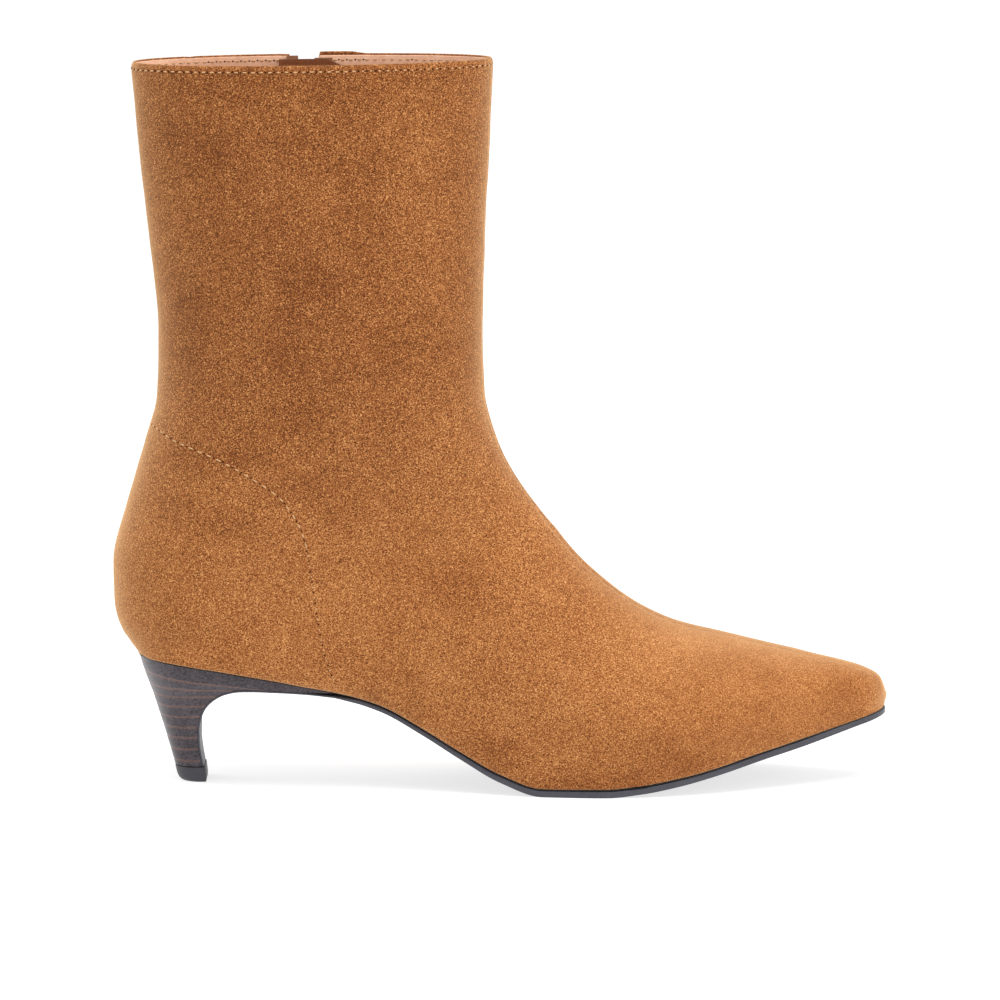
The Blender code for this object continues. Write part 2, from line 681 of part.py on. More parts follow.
def main():
    for old in list(bpy.data.objects):
        bpy.data.objects.remove(old)
    suede = new_material("suede", SUEDE, 0.9)
    lining = new_material("lining", LINING_TAN, 0.7)
    make_upper(suede)
    make_outsole(new_material("outsole", SOLE_DARK, 0.55))
    make_heel(new_material("heel", HEEL_DARK, 0.35))
    make_top_piece(new_material("rubber", RUBBER_DARK, 0.6))
    make_insole(lining)
    rows = [u for u in upper_rows() if 0.0 < u < ZIP_END]
    coil_rows = [SLIDER_AT - COIL_TOP_GAP] + rows + [ZIP_END - COIL_END_GAP]
    tape_rows = [ZIP_TOP] + rows + [ZIP_END + TAPE_PAST_END]
    make_strip("zip_coil", new_material("coil", TAPE_BROWN, 0.5), coil_rows,
               (COIL_WIDTH / 2.0, COIL_WIDTH / 2.0), COIL_DEPTHS, 3)
    make_strip("zip_tape", new_material("tape", TAPE_BROWN, 0.9), tape_rows,
               (TAPE_WIDTH / 2.0, TAPE_WIDTH / 2.0), TAPE_DEPTHS, 4)
    make_strip("zip_guard", new_material("guard", GUARD_BROWN, 0.9), tape_rows, GUARD_REACH, GUARD_DEPTHS, 4)
    metal = new_material("metal", METAL, 0.3, 1.0)
    make_slider(metal)
    make_puller(metal)


main()
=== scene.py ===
"""Looks of the zip ankle boot: suede upper, lining, stacked heel, thin sole, zip, seams and stitches.

Shapes are worked out in millimetres in the boot's own frame, as in the part's source: x = 0 is the back of
the heel, y = 0 the middle of the heel, +Y the inner (medial) side of the foot, and the floor is z = 0. Every
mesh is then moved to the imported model's origin and made in metres.
"""

import functools
import math
from collections import namedtuple

import bmesh
import bpy
import numpy as np
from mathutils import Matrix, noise


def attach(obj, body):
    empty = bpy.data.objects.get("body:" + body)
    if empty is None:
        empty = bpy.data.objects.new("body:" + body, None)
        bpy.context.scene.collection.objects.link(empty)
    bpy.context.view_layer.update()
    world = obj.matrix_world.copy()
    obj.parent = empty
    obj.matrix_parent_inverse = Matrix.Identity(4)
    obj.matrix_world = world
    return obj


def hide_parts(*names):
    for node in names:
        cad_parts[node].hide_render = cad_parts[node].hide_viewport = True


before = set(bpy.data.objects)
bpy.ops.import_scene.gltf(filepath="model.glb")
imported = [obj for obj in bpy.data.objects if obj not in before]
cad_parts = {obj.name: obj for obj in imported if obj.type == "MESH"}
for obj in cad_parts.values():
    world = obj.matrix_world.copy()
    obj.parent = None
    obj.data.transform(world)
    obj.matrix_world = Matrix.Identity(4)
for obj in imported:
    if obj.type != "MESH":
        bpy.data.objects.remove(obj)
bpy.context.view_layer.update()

MM = 0.001

# Driving sizes
LENGTH = 271.2
BALL_WIDTH = 78.0
HEEL_SEAT_WIDTH = 50.2
SHAFT_HEIGHT = 253.5
COLLAR_WIDTH = 54.0
WALL = 1.8
FIT_GAP = 0.3
ORIGIN_X = LENGTH / 2.0 + 0.1
ORIGIN_Y = 0.1

# Camera, for a picture of 1000 by 1000
CAMERA_PLACE = (-0.33, -2434.0, 451.0)
CAMERA_TILT = 8.237
CAMERA_LENS = 253.5

# The line where the upper meets the sole: place along the boot and height of the line as sizes, and half
# widths to the outer and inner side as shares of the ball width.
Feather = namedtuple("Feather", "x z outer inner")
FEATHER = (
    Feather(8.7, 45.5, 0.322, 0.322),
    Feather(24.0, 44.0, 0.322, 0.322),
    Feather(45.0, 40.6, 0.327, 0.321),
    Feather(66.0, 36.9, 0.319, 0.282),
    Feather(80.0, 34.2, 0.317, 0.247),
    Feather(94.0, 29.9, 0.324, 0.227),
    Feather(108.0, 22.5, 0.349, 0.233),
    Feather(121.7, 14.4, 0.386, 0.282),
    Feather(135.5, 7.0, 0.432, 0.365),
    Feather(150.0, 2.6, 0.472, 0.446),
    Feather(172.0, 2.6, 0.498, 0.502),
    Feather(184.0, 3.7, 0.488, 0.504),
    Feather(198.0, 6.1, 0.453, 0.481),
    Feather(212.0, 9.4, 0.394, 0.439),
    Feather(226.0, 13.3, 0.322, 0.378),
    Feather(240.0, 16.8, 0.238, 0.306),
    Feather(254.0, 20.7, 0.150, 0.234),
    Feather(262.0, 23.0, 0.105, 0.200),
    Feather(LENGTH - 1.0, 25.2, 0.075, 0.180),
)
HEEL_ROUND = 23.0
TOE_ROUND = 8.5
TOE_MIDDLE = 4.2
TOE_TIP_SHARE = 0.12
OUTLINE_SLANT = 1.12

# Sections through the upper, from the collar to the toe. Each is a slice across the boot between a point on
# its front or top line and a point on its back or bottom line. widest is the share of the way up the slice at
# which it is widest, low and high are the roundness below and above that, and crest is the top line's y.
Section = namedtuple("Section", "top_x top_z low_x low_z outer inner widest low high crest")
SECTIONS = (
    Section(133.0, SHAFT_HEIGHT, 7.5, SHAFT_HEIGHT - 1.5, COLLAR_WIDTH / 2.0, COLLAR_WIDTH / 2.0,
            0.47, 2.1, 2.1, 0.0),
    Section(131.6, 225.0, 9.9, 224.0, 27.2, 27.2, 0.47, 2.1, 2.1, 0.0),
    Section(130.0, 190.0, 13.7, 189.0, 27.8, 27.8, 0.46, 2.1, 2.1, 0.0),
    Section(129.2, 160.0, 16.5, 159.0, 28.7, 28.7, 0.45, 2.1, 2.1, 0.0),
    Section(129.9, 138.0, 15.9, 137.0, 29.6, 29.6, 0.43, 2.1, 2.1, 0.0),
    Section(134.0, 121.0, 11.5, 119.5, 30.0, 30.0, 0.38, 2.1, 2.1, 0.2),
    Section(139.4, 109.7, 4.9, 97.5, 29.8, 29.8, 0.31, 2.1, 2.1, 0.5),
    Section(143.8, 102.8, 0.2, 78.0, 29.4, 29.4, 0.26, 2.1, 2.15, 0.8),
    Section(146.4, 99.1, 0.5, 64.0, 29.0, 29.0, 0.25, 2.1, 2.2, 1.0),
    Section(148.4, 96.5, 3.1, 53.2, 28.8, 28.8, 0.25, 2.1, 2.2, 1.1),
    Section(149.8, 94.7, 8.7, None, 28.8, 28.8, 0.26, 2.1, 2.2, 1.2),
    Section(151.8, 92.1, 12.0, None, 28.8, 28.8, 0.26, 2.1, 2.2, 1.3),
    Section(154.8, 88.6, 22.0, None, 29.0, 29.0, 0.26, 2.2, 2.2, 1.5),
    Section(158.8, 83.5, 46.0, None, 29.6, 29.2, 0.27, 2.2, 2.2, 2.0),
    Section(164.2, 77.5, 78.0, None, 30.6, 29.2, 0.32, 2.2, 2.15, 2.5),
    Section(172.7, 69.8, 112.0, None, 33.6, 31.4, 0.32, 2.2, 2.1, 3.2),
    Section(183.8, 61.8, 142.0, None, 38.0, 37.0, 0.28, 2.2, 2.05, 3.8),
    Section(196.8, 55.6, 171.0, None, 40.6, 40.8, 0.26, 2.2, 2.0, 4.2),
    Section(212.0, 51.5, 198.0, None, 37.2, 39.4, 0.27, 2.2, 2.0, 4.4),
    Section(228.0, 47.7, 223.0, None, 28.4, 32.4, 0.30, 2.2, 2.05, 4.4),
    Section(243.0, 44.3, 243.0, None, 18.6, 23.8, 0.34, 2.2, 2.15, 4.3),
    Section(255.0, 41.4, 256.0, None, 11.9, 18.0, 0.37, 2.2, 2.3, 4.2),
    Section(263.0, 39.0, 263.5, None, 8.6, 15.8, 0.40, 2.2, 2.4, 4.2),
    Section(268.8, 35.5, 268.2, None, 6.8, 14.6, 0.42, 2.2, 2.4, 4.2),
    Section(LENGTH, 29.6, LENGTH - 1.0, None, 5.9, 14.0, 0.42, 2.2, 2.4, 4.2),
)
HEEL_POINT = 10
LAST_ROW = len(SECTIONS) - 1
SOLE_ROW = 14.25

# Upper: the suede sheet and the lining sheet inside it, with the spacing of their rows
SUEDE_THICK = 1.0
LINING_DEPTH = 1.15
LINING_THICK = 0.65
FLAT_ROLL = 0.15
RIM_START = 0.008
RIM_SWELL_FROM = 248.0
RIM_PULL = 0.65
RIM_PULL_OVER = 0.065
CORNER_ROWS = 1.6
CORNER_COLUMNS = 24
CORNER_ROUNDS = 30
CORNER_PULL = 0.5
LINING_START = 0.032
TOE_CALM_FROM = 19.5
TOE_CALM_OVER = 2.0
TOE_CALM_REACH = 5.0
RIM_BAND = 0.3
SKIN_SPACING = 2.0
FINE_SPACING = 0.8
LINING_SPACING = 4.0
TOE_BAND = 22.0
LINING_END = 23.5
FOOT_TUCK = 0.35
FOOT_TUCK_REACH = 0.9
FOOT_TUCK_ROWS = 2.0
# Columns of a side below and above its widest point, and across the slit
SKIN_COLUMNS = (30, 50, 6)
LINING_COLUMNS = (18, 26, 2)
# Unevenness of the suede: how high its bumps are and how wide
Bumps = namedtuple("Bumps", "height size")
WIDE_BUMPS = Bumps(0.22, 26.0)
FINE_BUMPS = Bumps(0.10, 9.0)
RIM_BUMPS = Bumps(0.10, 5.0)

# Zip
ZIP_PLACE = 0.457
ZIP_SLIT = 7.0
ZIP_END = 7.5
ZIP_SPLAY = 4.4
ZIP_SPLAY_UNTIL = 0.36
ZIP_POINT = 0.3
COIL_PITCH = 1.35
COIL_REACH = 2.5
COIL_THICK = 0.42
COIL_DEPTH = 1.0
COIL_ROWS = (0.09, 0.22)
COIL_STARTS = (0.75, 0.25)
COIL_INSIDE = 0.55
COIL_SINK = 0.15
COIL_BULGE = 0.22
TAPE_HALF = 12.0
TAPE_DEPTHS = (2.05, 2.6)
TAPE_SPLAY = 6.0
TAPE_TOP_REAR = 4.2
TAPE_GAP = 0.1
TAPE_PART = 0.06
TAPE_TOP = 0.02
TAPE_START = 0.05
TAPE_WIDEN_FROM = 0.15
TAPE_WIDEN_OVER = 0.3
TAPE_PAST = 0.3
TAPE_COLUMNS = 6
GUARD_REACH = (7.0, 19.0)
GUARD_TOP = 9.0
GUARD_SLANT = 0.24
GUARD_DEPTHS = (3.2, 4.1)
GUARD_START = 0.06
GUARD_BAND = 0.9
GUARD_COLUMNS = 8

# Sole: its thickness along the boot, the flap's thickness, and how far the edge stands out past the upper
Thickness = namedtuple("Thickness", "x thick")
SOLE_THICKNESS = (
    Thickness(85.0, 1.6),
    Thickness(145.0, 2.3),
    Thickness(240.0, 2.3),
    Thickness(270.0, 2.0),
)
SOLE_FLAP = 0.7
SOLE_LIP = 0.4
SOLE_BAND = 22.5
SOLE_EDGE = 0.55
FLAP_EDGE = 0.35
FLAP_STEPS = 110
INSOLE_THICK = 2.2
COVER_GAP = 0.6
COVER_END = 0.3
COVER_TURN = 1.3
COVER_COLUMNS = 20
COVER_DISH = 0.5
COVER_EDGE = 0.9
COVER_EDGE_POWER = 10
# A near black tube under the suede's lower edge: painted shadow where the upper meets the sole, with its
# cement.
FEATHER_LINE_OUT = 0.1
FEATHER_LINE_DROP = 0.16
FEATHER_LINE_RADIUS = 0.27
FEATHER_LINE_TUCK = 0.35
FEATHER_LINE_TUCK_ROWS = 1.5

# Outer face of the sole's flap from the waist under the heel wedge and down the breast, with its half widths.
Flap = namedtuple("Flap", "x z outer inner")
FLAP = (
    Flap(78.0, 32.7, 24.9, 19.6),
    Flap(68.0, 33.8, 24.9, 21.6),
    Flap(58.0, 34.4, 24.9, 23.4),
    Flap(51.0, 34.6, 24.3, 23.4),
    Flap(45.0, 34.4, 23.2, 22.8),
    Flap(39.8, 33.2, 21.6, 21.4),
    Flap(35.6, 30.6, 19.0, 19.0),
    Flap(32.7, 27.2, 16.4, 16.4),
    Flap(31.1, 23.2, 13.8, 13.8),
    Flap(30.4, 19.0, 11.8, 11.8),
    Flap(30.4, 14.5, 10.0, 10.0),
    Flap(30.9, 10.0, 8.8, 8.8),
    Flap(31.7, 5.7, 7.9, 7.9),
)

# Layers of the heel block from the seat down: back edge, breast edge on the FLAP table by its row, widest
# half width, and the length over which the back is rounded.
Layer = namedtuple("Layer", "back_x back_z breast half round")
LAYERS = (
    Layer(9.0, 45.3, 0.05, HEEL_SEAT_WIDTH / 2.0, 22.0),
    Layer(10.2, 41.0, 2.0, 24.6, 21.0),
    Layer(11.4, 37.5, 3.2, 23.2, 19.5),
    Layer(12.6, 34.2, 4.6, 21.2, 17.5),
    Layer(13.8, 31.0, 5.8, 18.6, 15.0),
    Layer(15.0, 27.2, 6.9, 16.2, 12.0),
    Layer(16.3, 23.0, 8.0, 13.8, 10.0),
    Layer(17.6, 18.9, 9.0, 11.9, 8.6),
    Layer(18.9, 14.3, 10.0, 10.2, 7.6),
    Layer(20.2, 9.8, 11.0, 9.0, 7.0),
    Layer(21.3, 5.6, 12.0, 8.2, 6.6),
)
# Heights of the brown joints between the heel's layers, on an upright line through its column.
JOINT_LINE_X = 27.0
JOINT_HEIGHTS = (38.1, 34.9, 31.9, 28.2, 24.2, 20.1, 16.2, 11.9, 7.6)
JOINT_HALF = 0.42
JOINT_GROOVE = 0.05
HEEL_GAP = 0.02
HEEL_STEPS = 150
SEAT_BLEND = 0.5

# Top piece
LIFT_HEIGHT = 5.3
LIFT_BACK = (21.3, 22.5)
LIFT_FRONT = (32.0, 32.7)
LIFT_HALF = (8.4, 8.1)
LIFT_ROUND = 6.6
LIFT_CORNER = 0.3
# Heights of the top piece's levels, each with how far the back is drawn in there
LIFT_LEVELS = ((LIFT_HEIGHT, 0.35), (LIFT_HEIGHT - 0.1, 0.12), (LIFT_HEIGHT - 0.35, 0.0), (2.6, 0.0),
               (1.6, 0.12), (0.9, 0.38), (0.4, 0.75), (0.1, 1.15), (0.0, 1.5))

# Slider and pull tab
SLIDER_AT = 0.42
SLIDER_LENGTH = 9.0
SLIDER_WIDTH = 8.4
SLIDER_PLATE = 1.3
SLIDER_TAPER = 0.9
SLIDER_CORNER = 1.6
CROWN_WIDTH = 2.4
CROWN_LENGTH = 5.2
CROWN_RISE = 3.4
CROWN_BAR = 1.0
CROWN_CORNER = 0.9
CROWN_SINK = 0.4
TAB_LENGTH = 25.0
TAB_WIDTH = 6.6
TAB_NECK = 4.6
TAB_THICK = 1.2
TAB_EYE_LENGTH = 3.9
TAB_EYE_WIDTH = 3.4
TAB_NECK_AT = 8.0
TAB_NECK_REACH = 3.2
TAB_SIDES = 48

# Seams. The counter's stitched line, seen from the outer side, from the back of the ankle down to the sole.
Seam = namedtuple("Seam", "x z")
COUNTER_SEAM = (
    Seam(14.4, 126.2),
    Seam(23.6, 121.9),
    Seam(38.8, 116.3),
    Seam(49.1, 110.7),
    Seam(59.8, 103.1),
    Seam(64.9, 95.7),
    Seam(68.0, 88.0),
    Seam(70.4, 73.7),
    Seam(72.4, 59.7),
    Seam(74.9, 48.1),
    Seam(78.9, 36.6),
)
# A seam's groove: depth, how much deeper its dimples are, width, and the low ridges beside it
Groove = namedtuple("Groove", "depth dimple width ridge ridge_off ridge_width")
FRONT_GROOVE = Groove(0.36, 0.5, 0.8, 0.16, 2.0, 1.1)
REAR_GROOVE = Groove(0.45, 0.0, 0.8, 0.14, 2.0, 1.2)
COLLAR_STITCH = 0.078
COLLAR_DIP = 0.10
COLLAR_DIP_ROWS = 0.018
COLLAR_PITCH = 2.9
COUNTER_PITCH = 3.7
ZIP_STITCH = 3.0
FRONT_SEAM_OFF = 4.6
FRONT_SEAM_TOP_SHARE = 0.35
FRONT_SEAM_FROM = 6.0
FRONT_SEAM_OVER = 8.0
FRONT_FADE = 0.85
FRONT_FADE_FROM = 14.5
FRONT_FADE_OVER = 4.0
FRONT_END_OVER = 1.5
FRONT_DIMPLES = 5.5
REAR_SEAM_TOP = 27.4
REAR_SEAM_LEAN = 3.0
REAR_SEAM_END = (28.0, 120.5)
REAR_SEAM_FADE = 0.5
REAR_NOTCH = 0.6
REAR_NOTCH_REACH = 0.7
ZIP_REAR_X = 66.0
FRONT_FLAP_END = 89.0
FRONT_FLAP_RISE = 0.7
FRONT_FLAP_OVER = 6.0
FRONT_FLAP_ROWS = 0.16

# Soft patches on the outer side: middle, half reach along and up the boot, and how much darker the brushed
# nap lies there or, with a minus, how much lighter it is painted: these lighter patches are painted light,
# the brightest on the toe's top.
Patch = namedtuple("Patch", "x z along up dark")
PATCHES = (
    Patch(32, 243, 9, 8, 0.7),
    Patch(22, 229, 7, 6, 0.6),
    Patch(35, 223, 11, 9, 0.8),
    Patch(74, 244, 13, 6, 0.5),
    Patch(64, 227, 9, 6, 0.4),
    Patch(92, 219, 11, 9, 0.4),
    Patch(120, 227, 6, 10, 0.35),
    Patch(66, 198, 9, 8, 0.5),
    Patch(72, 178, 10, 9, 0.9),
    Patch(27, 168, 7, 8, 0.6),
    Patch(28, 156, 6, 13, 0.6),
    Patch(64, 153, 15, 10, 0.6),
    Patch(108, 157, 13, 11, 0.4),
    Patch(66, 134, 9, 8, 0.6),
    Patch(46, 118, 9, 6, 1.0),
    Patch(31, 117, 11, 5, 0.6),
    Patch(66, 107, 11, 5, 0.8),
    Patch(78, 98, 10, 8, 0.6),
    Patch(38, 94, 8, 5, 1.0),
    Patch(24, 100, 9, 5, 0.7),
    Patch(107, 92, 9, 6, 0.4),
    Patch(17, 57, 6, 5, 0.5),
    Patch(121, 72, 13, 9, 0.8),
    Patch(101, 61, 10, 8, 0.45),
    Patch(99, 28, 9, 4, 0.5),
    Patch(136, 16, 11, 5, 0.8),
    Patch(162, 4, 17, 4, 0.9),
    Patch(181, 7, 10, 4, 0.7),
    Patch(199, 12, 12, 4, 0.7),
    Patch(257, 33, 13, 4, 0.6),
    Patch(105, 218, 12, 20, -0.5),
    Patch(106, 176, 11, 13, -0.35),
    Patch(55, 140, 9, 6, -0.5),
    Patch(19, 133, 7, 8, -0.4),
    Patch(117, 127, 12, 16, -0.35),
    Patch(78, 38, 12, 7, -0.35),
    Patch(182, 38, 22, 13, -0.35),
    Patch(196, 52, 22, 9, -0.6),
    Patch(225, 50, 20, 5, -0.8),
    Patch(246, 45, 14, 4, -0.8),
    Patch(238, 33, 24, 10, -0.5),
    Patch(264, 31, 6, 7, -0.6),
)
MEDIAL_PATCH_SHIFT = (13.0, -9.0)
# Darker suede up the shaft: how much darker, from what height, and over what rise.
SHAFT_DARKER = 0.95
SHAFT_DARKER_FROM = 85.0
SHAFT_DARKER_OVER = 60.0
FOOT_FINE = 0.14
FOOT_FINE_BELOW = 140.0
FOOT_FINE_OVER = 80.0
TOE_FINE = 0.26
TOE_FINE_FROM = 150.0
TOE_FINE_OVER = 80.0


def pchip(places, values, at):
    """Smooth curve through the values that never overshoots them."""
    places = np.asarray(places, float)
    values = np.asarray(values, float)
    steps = np.diff(places)
    slopes = np.diff(values) / steps
    bends = np.zeros(len(values))
    for k in range(1, len(values) - 1):
        if slopes[k - 1] * slopes[k] > 0.0:
            before = 2.0 * steps[k] + steps[k - 1]
            after = steps[k] + 2.0 * steps[k - 1]
            bends[k] = (before + after) / (before / slopes[k - 1] + after / slopes[k])
    bends[0] = slopes[0]
    bends[-1] = slopes[-1]
    at = min(max(float(at), places[0]), places[-1])
    k = min(int(np.searchsorted(places, at, side="right")) - 1, len(steps) - 1)
    s = (at - places[k]) / steps[k]
    rise = values[k] * (1.0 + 2.0 * s) * (1.0 - s) ** 2 + values[k + 1] * s * s * (3.0 - 2.0 * s)
    lean = bends[k] * s * (1.0 - s) ** 2 + bends[k + 1] * s * s * (s - 1.0)
    return float(rise + steps[k] * lean)


def by_row(table, column, at):
    """One column of a table as a smooth function of the row."""
    return pchip(range(len(table)), [getattr(row, column) for row in table], at)


def by_x(column, x):
    """One column of the feather table as a smooth function of x."""
    return pchip([row.x for row in FEATHER], [getattr(row, column) for row in FEATHER], x)


def steps(start, end, count):
    return [start + (end - start) * k / count for k in range(count + 1)]


def smooth(share):
    share = min(1.0, max(0.0, share))
    return share * share * (3.0 - 2.0 * share)


def unit(way):
    return way / np.linalg.norm(way)


def run_along(points):
    """Distance of each point from the first, measured along the line through them."""
    return np.concatenate(([0.0], np.cumsum(np.linalg.norm(np.diff(points, axis=0), axis=1))))


def closing(x, inset=0.0):
    """How far the outline has closed at the round heel and the round toe, from 0 at their ends to 1."""
    heel_end = FEATHER[0].x + inset
    toe_end = FEATHER[-1].x - inset
    if x < heel_end + HEEL_ROUND:
        short = (heel_end + HEEL_ROUND - x) / HEEL_ROUND
    elif x > toe_end - TOE_ROUND:
        short = (x - toe_end + TOE_ROUND) / TOE_ROUND
    else:
        short = 0.0
    return math.sqrt(max(0.0, 1.0 - short * short))


def toe_middle(x):
    """The line that the toe closes on; it leaves the middle of the boot over the last part of the toe."""
    return TOE_MIDDLE if x > FEATHER[-1].x - 2.0 * TOE_ROUND else 0.0


def outline(x, inset=0.0):
    """The feather line's y on the outer and inner side at x, drawn in by inset all round."""
    share = closing(x, inset)
    if x > FEATHER[-1].x - inset - TOE_ROUND:
        share = max(share, TOE_TIP_SHARE)
    middle = toe_middle(x)
    outer = -(by_x("outer", x) * BALL_WIDTH - inset * OUTLINE_SLANT)
    inner = by_x("inner", x) * BALL_WIDTH - inset * OUTLINE_SLANT
    return middle + (outer - middle) * share, middle + (inner - middle) * share


@functools.lru_cache(maxsize=None)
def section(u):
    """The slice through the upper at row u of SECTIONS, with its corner points worked out."""
    at = {name: by_row(SECTIONS, name, u) for name in Section._fields if name != "low_z"}
    if u >= HEEL_POINT:
        at["low_z"] = by_x("z", at["low_x"])
        at["foot_outer"], at["foot_inner"] = outline(at["low_x"])
    else:
        heights = [row.low_z for row in SECTIONS[:HEEL_POINT]] + [by_x("z", SECTIONS[HEEL_POINT].low_x)]
        at["low_z"] = pchip(range(HEEL_POINT + 1), heights, u)
        at["foot_outer"] = at["foot_inner"] = 0.0
    middle = toe_middle(at["low_x"])
    share = 1.0
    if at["low_x"] > FEATHER[-1].x - TOE_ROUND:
        share = max(closing(at["low_x"]), TOE_TIP_SHARE)
    at["side_outer"] = middle + (-at["outer"] - middle) * share
    at["side_inner"] = middle + (at["inner"] - middle) * share
    at["span"] = math.hypot(at["top_x"] - at["low_x"], at["top_z"] - at["low_z"])
    return at


def along_side(at, side, w):
    """A point of a section on its outer or inner side; w runs from 0 at the bottom to 1 at the crest."""
    foot = at["foot_" + side]
    wide = at["side_" + side]
    if w <= 0.5:
        turn = max(0.0, w) * math.pi
        t = at["widest"] * (1.0 - max(0.0, math.cos(turn)) ** (2.0 / at["low"]))
        y = foot + (wide - foot) * math.sin(turn) ** (2.0 / at["low"])
    else:
        turn = (min(w, 1.0) - 0.5) * math.pi
        t = at["widest"] + (1.0 - at["widest"]) * math.sin(turn) ** (2.0 / at["high"])
        y = at["crest"] + (wide - at["crest"]) * max(0.0, math.cos(turn)) ** (2.0 / at["high"])
    x = at["low_x"] + (at["top_x"] - at["low_x"]) * t
    z = at["low_z"] + (at["top_z"] - at["low_z"]) * t
    return np.array((x, y, z))


def way_up(at, t):
    """The w of along_side that lies the share t of the way up the section."""
    if t <= at["widest"]:
        return math.acos((1.0 - t / at["widest"]) ** (at["low"] / 2.0)) / math.pi
    above = (t - at["widest"]) / (1.0 - at["widest"])
    return 0.5 + math.asin(min(1.0, above) ** (at["high"] / 2.0)) / math.pi


def skin(u, side, w, depth=0.0):
    """A point at a depth under the skin and the outward normal there."""
    small = 0.004
    before, after = section(max(0.0, u - small)), section(min(float(LAST_ROW), u + small))
    here = section(u)
    along = along_side(after, side, w) - along_side(before, side, w)
    up = along_side(here, side, min(1.0, w + small)) - along_side(here, side, max(0.0, w - small))
    normal = np.cross(along, up)
    middle = np.array(((here["low_x"] + here["top_x"]) / 2.0, 0.0, (here["low_z"] + here["top_z"]) / 2.0))
    point = along_side(here, side, w)
    if np.dot(normal, point - middle) < 0.0:
        normal = -normal
    normal = unit(normal)
    return point - normal * depth, normal


def locate(x, z):
    """The row and the share of the way up at which a section passes the place x, z of the side view."""
    low, high = 0.0, float(LAST_ROW)
    for _ in range(40):
        u = (low + high) / 2.0
        at = section(u)
        way = (at["top_x"] - at["low_x"], at["top_z"] - at["low_z"])
        if way[0] * (z - at["low_z"]) - way[1] * (x - at["low_x"]) > 0.0:
            high = u
        else:
            low = u
    t = ((x - at["low_x"]) * way[0] + (z - at["low_z"]) * way[1]) / at["span"] ** 2
    return u, min(0.999, max(0.001, t))


def slit_reach(u):
    """The slit's reach to the rear and front of the zip's line: its front edge parts above the slider."""
    closed = smooth((u - ZIP_END + ZIP_POINT) / ZIP_POINT)
    half = ZIP_SLIT / 2.0 * (1.0 - 0.75 * closed)
    return half, half + ZIP_SPLAY * smooth(1.0 - u / ZIP_SPLAY_UNTIL)


def zip_edges(at, u, margin=0.0):
    """The w of the slit's rear and front edge on the inner side of a section, with a margin beyond them."""
    rear, front = [min((reach + margin) / at["span"], 0.1) for reach in slit_reach(u)]
    return way_up(at, ZIP_PLACE - rear), way_up(at, ZIP_PLACE + front)


def spread(start, end, spacing):
    """Rows from start to end, spaced by the distance between their sections where they are furthest apart."""
    fine = np.linspace(start, end, 120)
    there = [section(float(u)) for u in fine]
    tops = np.array([(at["top_x"], 0.0, at["top_z"]) for at in there])
    lows = np.array([(at["low_x"], at["foot_outer"], at["low_z"]) for at in there])
    gaps = np.maximum(*[np.linalg.norm(np.diff(line, axis=0), axis=1) for line in (tops, lows)])
    along = np.concatenate(([0.0], np.cumsum(gaps)))
    count = max(2, round(along[-1] / spacing))
    return [float(u) for u in np.interp(np.linspace(0.0, along[-1], count + 1), along, fine)]


def rows_through(start, *bands):
    """Rows from start through bands of (end, spacing), one after the other."""
    rows = [start]
    for end, spacing in bands:
        rows += spread(start, end, spacing)[1:]
        start = end
    return rows


def material(name, colour, roughness, **settings):
    """A new material with a Principled shader; settings name more of its sockets."""
    made = bpy.data.materials.new(name)
    made.use_nodes = True
    shader = made.node_tree.nodes["Principled BSDF"]
    shader.inputs["Base Color"].default_value = (*colour, 1.0)
    shader.inputs["Roughness"].default_value = roughness
    for key, value in settings.items():
        shader.inputs[key.replace("_", " ")].default_value = value
    return made


